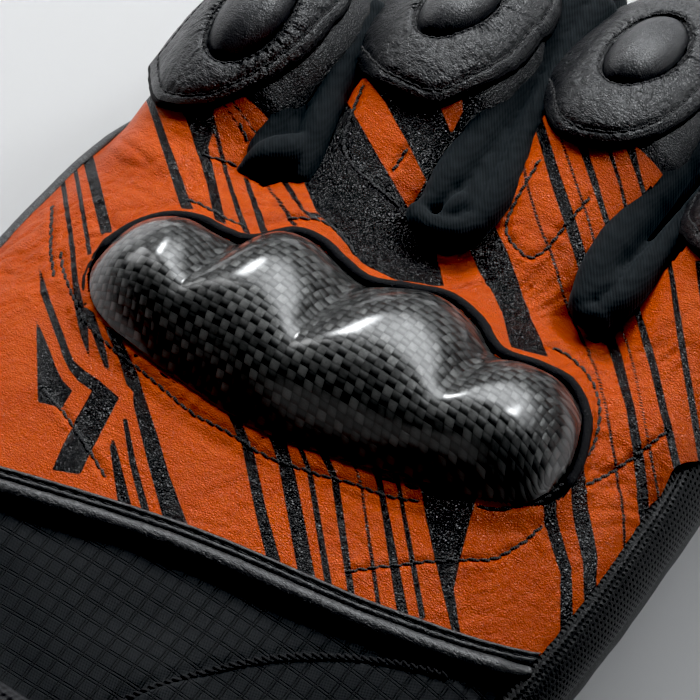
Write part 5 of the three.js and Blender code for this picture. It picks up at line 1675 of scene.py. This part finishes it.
def make_binding():
    """Bound edge of the cuff's mouth."""
    y = CUFF_END - 0.2
    t = np.linspace(0, 2 * np.pi, 720, endpoint=False)
    k = 2 / H_N(y)
    c, s = np.cos(t), np.sin(t)
    x = H_XC(y) + (H_HALF(y) - 0.8) * np.sign(c) * np.abs(c) ** k
    z = np.where(s >= 0, H_MID(y) + (H_TOP(y) - H_MID(y) - 0.8) * np.abs(s) ** k, H_MID(y) - (H_MID(y) + 3.2) * np.abs(s) ** k)
    z = np.where(z < 3.2, 2.1 + 1.1 * np.exp(np.clip(z - 3.2, -12, 0) / 1.1), z)
    p = resample(np.stack([x, np.full_like(x, y), z], 1), 0.7, True)
    arc = np.arange(len(p)) * 0.7
    r = 1.9 + 0.08 * noise2(arc, 0 * arc, 4, 85)
    v, f = tube(p, r, 20, closed=True, up=(0, 1, 0))
    ob = new_mesh("cuff_edge", v, f, [M_PIPE])
    flip_centre(ob)
    piece(ob, "piping", "cuff_binding")


def make_strap():
    """Wide webbing strap over the wrist, ending past the middle of the back."""
    lo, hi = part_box("wrist_strap")
    lo, hi = np.array(lo) * 1000 - SHIFT, np.array(hi) * 1000 - SHIFT
    ys = np.linspace(lo[1] + 0.1, hi[1] - 0.1, 44)
    rows, us = [], []
    for y in ys:
        t = np.linspace(0, 2 * np.pi, 2400)
        k = 2 / H_N(y)
        c, s = np.cos(t), np.sin(t)
        x = H_XC(y) + (H_HALF(y) + 0.4) * np.sign(c) * np.abs(c) ** k
        z = np.where(s >= 0, H_MID(y) + (H_TOP(y) - H_MID(y) + 0.4) * np.abs(s) ** k, H_MID(y) - (H_MID(y) + 4.4) * np.abs(s) ** k)
        end = hi[0] - 2.5 * (1 - np.sqrt(np.clip(1 - ((y - (lo[1] + hi[1]) / 2) / ((hi[1] - lo[1]) / 2)) ** 2, 0, 1)))
        ok = (x <= end) & (z > 8.4)
        i = np.where(ok)[0]
        i = i[(t[i] < np.pi * 1.5)]
        x, z = x[i], z[i]
        ln = np.concatenate([[0], np.cumsum(np.hypot(np.diff(x), np.diff(z)))])
        q = np.linspace(0, ln[-1], 130)
        rows.append(np.stack([np.interp(q, ln, x), np.full(130, y), np.interp(q, ln, z)], 1))
        us.append(q)
    P, U = np.stack(rows), np.stack(us)
    n = outward(P)
    v = (P[..., 1] - lo[1]) / (hi[1] - lo[1])
    h = 1.2 - 0.5 * np.exp(-((np.minimum(v, 1 - v) / 0.03) ** 2)) - 0.22 * np.exp(-(((np.minimum(v, 1 - v) - 0.09) / 0.02) ** 2)) + 0.15 * noise2(P[..., 0], P[..., 1], 9, 95)
    Q = P + n * h[..., None]
    ob = new_mesh("strap_web", Q.reshape(-1, 3), grid_faces(len(ys), 130), [M_STRAP], attrs={"uvw": np.stack([U.ravel(), P[..., 1].ravel(), 0 * U.ravel()], 1)})
    flip_up(ob, hand_centre)
    thicken(ob, 1.4, -1)
    piece(ob, "strap_web", "wrist_strap")


def make_thumb():
    t = np.array(THUMB, float)
    d = np.concatenate([[0], np.cumsum(np.linalg.norm(np.diff(t[:, :3], axis=0), axis=1))])
    fx, fy, fz, fh, fv = [curve(np.stack([d, t[:, k]], 1)) for k in range(5)]
    tip = 11.0
    s = np.concatenate([np.linspace(-6, d[-1], 110), d[-1] + tip * np.sin(np.linspace(0.04, np.pi / 2, 26))])
    base = np.clip(s, 0, d[-1])
    c = np.stack([fx(base), fy(base), fz(base)], 1)
    tan = np.stack([fx(base + 0.1) - fx(base - 0.1), fy(base + 0.1) - fy(base - 0.1), fz(base + 0.1) - fz(base - 0.1)], 1)
    tan[base >= d[-1]] = tan[np.where(base < d[-1] - 0.2)[0][-1]]
    tan[s <= 0.1] = tan[np.where(s > 0.2)[0][0]]
    tan /= np.linalg.norm(tan, axis=1, keepdims=True)
    over = s - base
    c = c + tan * over[:, None]
    k = np.sqrt(np.clip(1 - (np.clip(over, 0, None) / tip) ** 2.2, 0.0006, 1))
    side = np.cross(tan, [0, 0, 1.0])
    side /= np.linalg.norm(side, axis=1, keepdims=True)
    half, high = fh(base) * k, fv(base) * k

    def skin_of(a):
        e = 2 / 2.3
        ca, sa = np.cos(a)[None], np.sin(a)[None]
        P = c[:, None] + side[:, None] * (half[:, None] * np.sign(ca) * np.abs(ca) ** e)[..., None]
        P[..., 2] += high[:, None] * np.sign(sa) * np.abs(sa) ** e
        P[..., 2] = np.where(P[..., 2] < 1.2, 1.2 * np.exp(np.clip(P[..., 2] - 1.2, -12, 0) / 2.4), P[..., 2])
        return P

    for name, lo, hi, slot, mat, node in (("thumb_back_skin", 0, np.pi, "black_leather", M_LEATHER, "thumb_back"), ("thumb_front_skin", np.pi, 2 * np.pi, "palm_leather", M_PALM, "thumb_front")):
        P = skin_of(np.linspace(lo, hi, 72))
        n, h = wrap_relief(P, 70 if node == "thumb_back" else 74, 0.16, 3.6)
        out = np.sign((n * (P - c[:, None])).sum(-1).mean())
        P = P + out * n * (h * smooth(0.4, 4, P[..., 2]) * smooth(s[-1] - 0.5, s[-1] - 8, s)[:, None])[..., None]
        P[..., 2] = np.maximum(P[..., 2], 0.03)
        ob = new_mesh(name, P.reshape(-1, 3), grid_faces(len(s), 72), [mat])
        near = lambda q: c[np.argmin(((q[:, None, :2] - c[None, ::6, :2]) ** 2).sum(-1), 1) * 6]
        flip_up(ob, near)
        piece(ob, slot, node)
    # sewn line along the middle of the thumb's side
    line = skin_of(np.array([0.02]))[:, 0]
    a, b = stitch_run(resample(line[8:-18], 0.5) + np.array([0, 0, 0.9]), nrm=(0.6, 0.3, 0.7), seed=99)
    v, f = join(a)
    piece(new_mesh("thumb_stitches", v, f, [M_THREAD], attrs={"twist": np.concatenate(b)}), "black_leather")


# ---- stage -----------------------------------------------------------------------------
def make_stage():
    fl = Nodes("floor_paper")
    fl.set(Base_Color=fl.mix(fl.noise(3, 3, 0.5), (0.55, 0.55, 0.555, 1), (0.58, 0.58, 0.585, 1)), Roughness=0.75)
    me = bpy.data.meshes.new("floor")
    n = 24
    g = np.linspace(-1.6, 1.6, n + 1)
    X, Y = np.meshgrid(g, g, indexing="ij")
    v = np.stack([X, Y, np.full_like(X, -0.0002)], -1).reshape(-1, 3)
    me.from_pydata(v.tolist(), [], [list(map(int, q)) for q in grid_faces(n + 1, n + 1)])
    me.materials.append(fl.mat)
    ob = bpy.data.objects.new("floor", me)
    bpy.context.scene.collection.objects.link(ob)
    if me.polygons[0].normal.z < 0:
        me.flip_normals()

    w = bpy.data.worlds.new("studio")
    bpy.context.scene.world = w
    w.use_nodes = True
    w.node_tree.nodes["Background"].inputs["Color"].default_value = (0.55, 0.6, 0.68, 1)
    w.node_tree.nodes["Background"].inputs["Strength"].default_value = 0.020

    def area(name, centre, aim, size_x, size_y, watts, colour=(1, 1, 1), spread=180):
        d = bpy.data.lights.new(name, "AREA")
        d.shape, d.size, d.size_y, d.energy, d.color = "RECTANGLE", size_x, size_y, watts, colour
        d.spread = math.radians(spread)
        o = bpy.data.objects.new(name, d)
        bpy.context.scene.collection.objects.link(o)
        c, a = Vector(centre), Vector(aim)
        z = (c - a).normalized()
        x = Vector((0, 0, 1)).cross(z).normalized()
        y = z.cross(x)
        o.matrix_world = Matrix(((x.x, y.x, z.x, c.x), (x.y, y.y, z.y, c.y), (x.z, y.z, z.z, c.z), (0, 0, 0, 1)))
        return o

    def softbox(name, az, el, dist, sx, sy, strength, spots=(), colour=(1, 1, 1), edge=0.25):
        """Glowing panel seen from the glove at a compass angle (from +Y towards +X) and an elevation, brighter in round spots (u, v, radius, gain)."""
        m = bpy.data.materials.new(name)
        m.use_nodes = True
        t = m.node_tree
        t.nodes.clear()
        out, em = t.nodes.new("ShaderNodeOutputMaterial"), t.nodes.new("ShaderNodeEmission")
        t.links.new(em.outputs[0], out.inputs[0])
        n = Nodes.__new__(Nodes)
        n.mat, n.t = m, t
        n.coord = t.nodes.new("ShaderNodeTexCoord").outputs["Object"]
        q = n.xyz(n.coord)
        fu = n.math("MULTIPLY", n.math("SUBTRACT", 0.5 * sx, n.math("ABSOLUTE", q[0])), 1 / (edge * sx), clamp=True)
        fv = n.math("MULTIPLY", n.math("SUBTRACT", 0.5 * sy, n.math("ABSOLUTE", q[1])), 1 / (edge * sy), clamp=True)
        glow = n.math("MULTIPLY", n.math("POWER", fu, 1.4), n.math("POWER", fv, 1.4))
        for u, v, rad, gain in spots:
            du, dv = n.math("DIVIDE", n.math("SUBTRACT", q[0], u), rad), n.math("DIVIDE", n.math("SUBTRACT", q[1], v), rad)
            r2 = n.math("ADD", n.math("MULTIPLY", du, du), n.math("MULTIPLY", dv, dv))
            glow = n.math("ADD", glow, n.math("MULTIPLY", n.math("EXPONENT", n.math("MULTIPLY", r2, -1.0)), gain))
        n.link(n.math("MULTIPLY", glow, strength), em.inputs["Strength"])
        em.inputs["Color"].default_value = colour + (1,)
        a, e = math.radians(az), math.radians(el)
        c = Vector((math.sin(a) * math.cos(e), math.cos(a) * math.cos(e), math.sin(e))) * dist + Vector((SHIFT[0] / 1000, SHIFT[1] / 1000, 0.04))
        z = (c - Vector((SHIFT[0] / 1000, SHIFT[1] / 1000, 0.04))).normalized()
        x = Vector((0, 0, 1)).cross(z).normalized()
        y = z.cross(x)
        me = bpy.data.meshes.new(name)
        me.from_pydata([(-sx / 2, -sy / 2, 0), (-sx / 2, sy / 2, 0), (sx / 2, sy / 2, 0), (sx / 2, -sy / 2, 0)], [], [(0, 1, 2, 3)])
        me.materials.append(m)
        o = bpy.data.objects.new(name, me)
        bpy.context.scene.collection.objects.link(o)
        o.matrix_world = Matrix(((x.x, y.x, z.x, c.x), (x.y, y.y, z.y, c.y), (x.z, y.z, z.z, c.z), (0, 0, 0, 1)))
        o.visible_camera = False  # a lamp's panel, which lights and reflects and doesn't stand in front of any view
        return o

    softbox("softbox_back", 4, 39, 1.0, 2.1, 0.64, 6.4, [(-0.42, 0.08, 0.09, 4.6), (0.74, -0.04, 0.11, 4.8)], (0.95, 0.98, 1.0), 0.36)
    softbox("softbox_rear_left", -52, 40, 1.35, 1.1, 0.62, 3.6, colour=(0.98, 0.99, 1.0), edge=0.40)
    softbox("softbox_left", -74, 19, 0.60, 0.34, 0.20, 3.2, colour=(0.98, 0.99, 1.0), edge=0.12)
    softbox("softbox_front", 165, 34, 1.1, 1.6, 0.7, 0.30, colour=(1, 1, 1), edge=0.3)
    wash = area("floor_wash", (-0.55, 0.50, 0.70), (-0.14, 0.12, 0), 0.3, 0.3, 6.3, (1, 1, 1))
    wash.visible_glossy = False


def make_camera():
    cam = bpy.data.cameras.new("camera")
    cam.sensor_width, cam.lens = 36, 36 * FPX / 700
    cam.clip_start, cam.clip_end = 0.02, 20
    ob = bpy.data.objects.new("camera", cam)
    bpy.context.scene.collection.objects.link(ob)
    e = metres(EYE)
    ob.matrix_world = Matrix(((RIGHT[0], UP[0], BACK[0], e[0]), (RIGHT[1], UP[1], BACK[1], e[1]), (RIGHT[2], UP[2], BACK[2], e[2]), (0, 0, 0, 1)))
    bpy.context.scene.camera = ob
    view = bpy.context.scene.view_settings
    view.view_transform = "Standard"
    view.use_curve_mapping = True
    view.curve_mapping.black_level = (0.010, 0.010, 0.010)
    view.curve_mapping.update()


make_camera()
make_stage()
make_back_panel()
make_guard()
make_rim()
make_stitches()
for _k, _f in enumerate(FINGERS):
    make_patch(_f, _k)
_bands = [make_finger(_f, _k) for _k, _f in enumerate(FINGERS)]
for _k, _name in enumerate(("little_ring", "ring_middle", "middle_index")):
    make_fourchette(_name, (_bands[_k][0], _bands[_k + 1][1]))
make_wrist()
make_cuff()
make_palm()
make_side_band()
make_wrist_edge()
make_side_piping()
make_binding()
make_strap()
make_thumb()

bpy.context.view_layer.update()
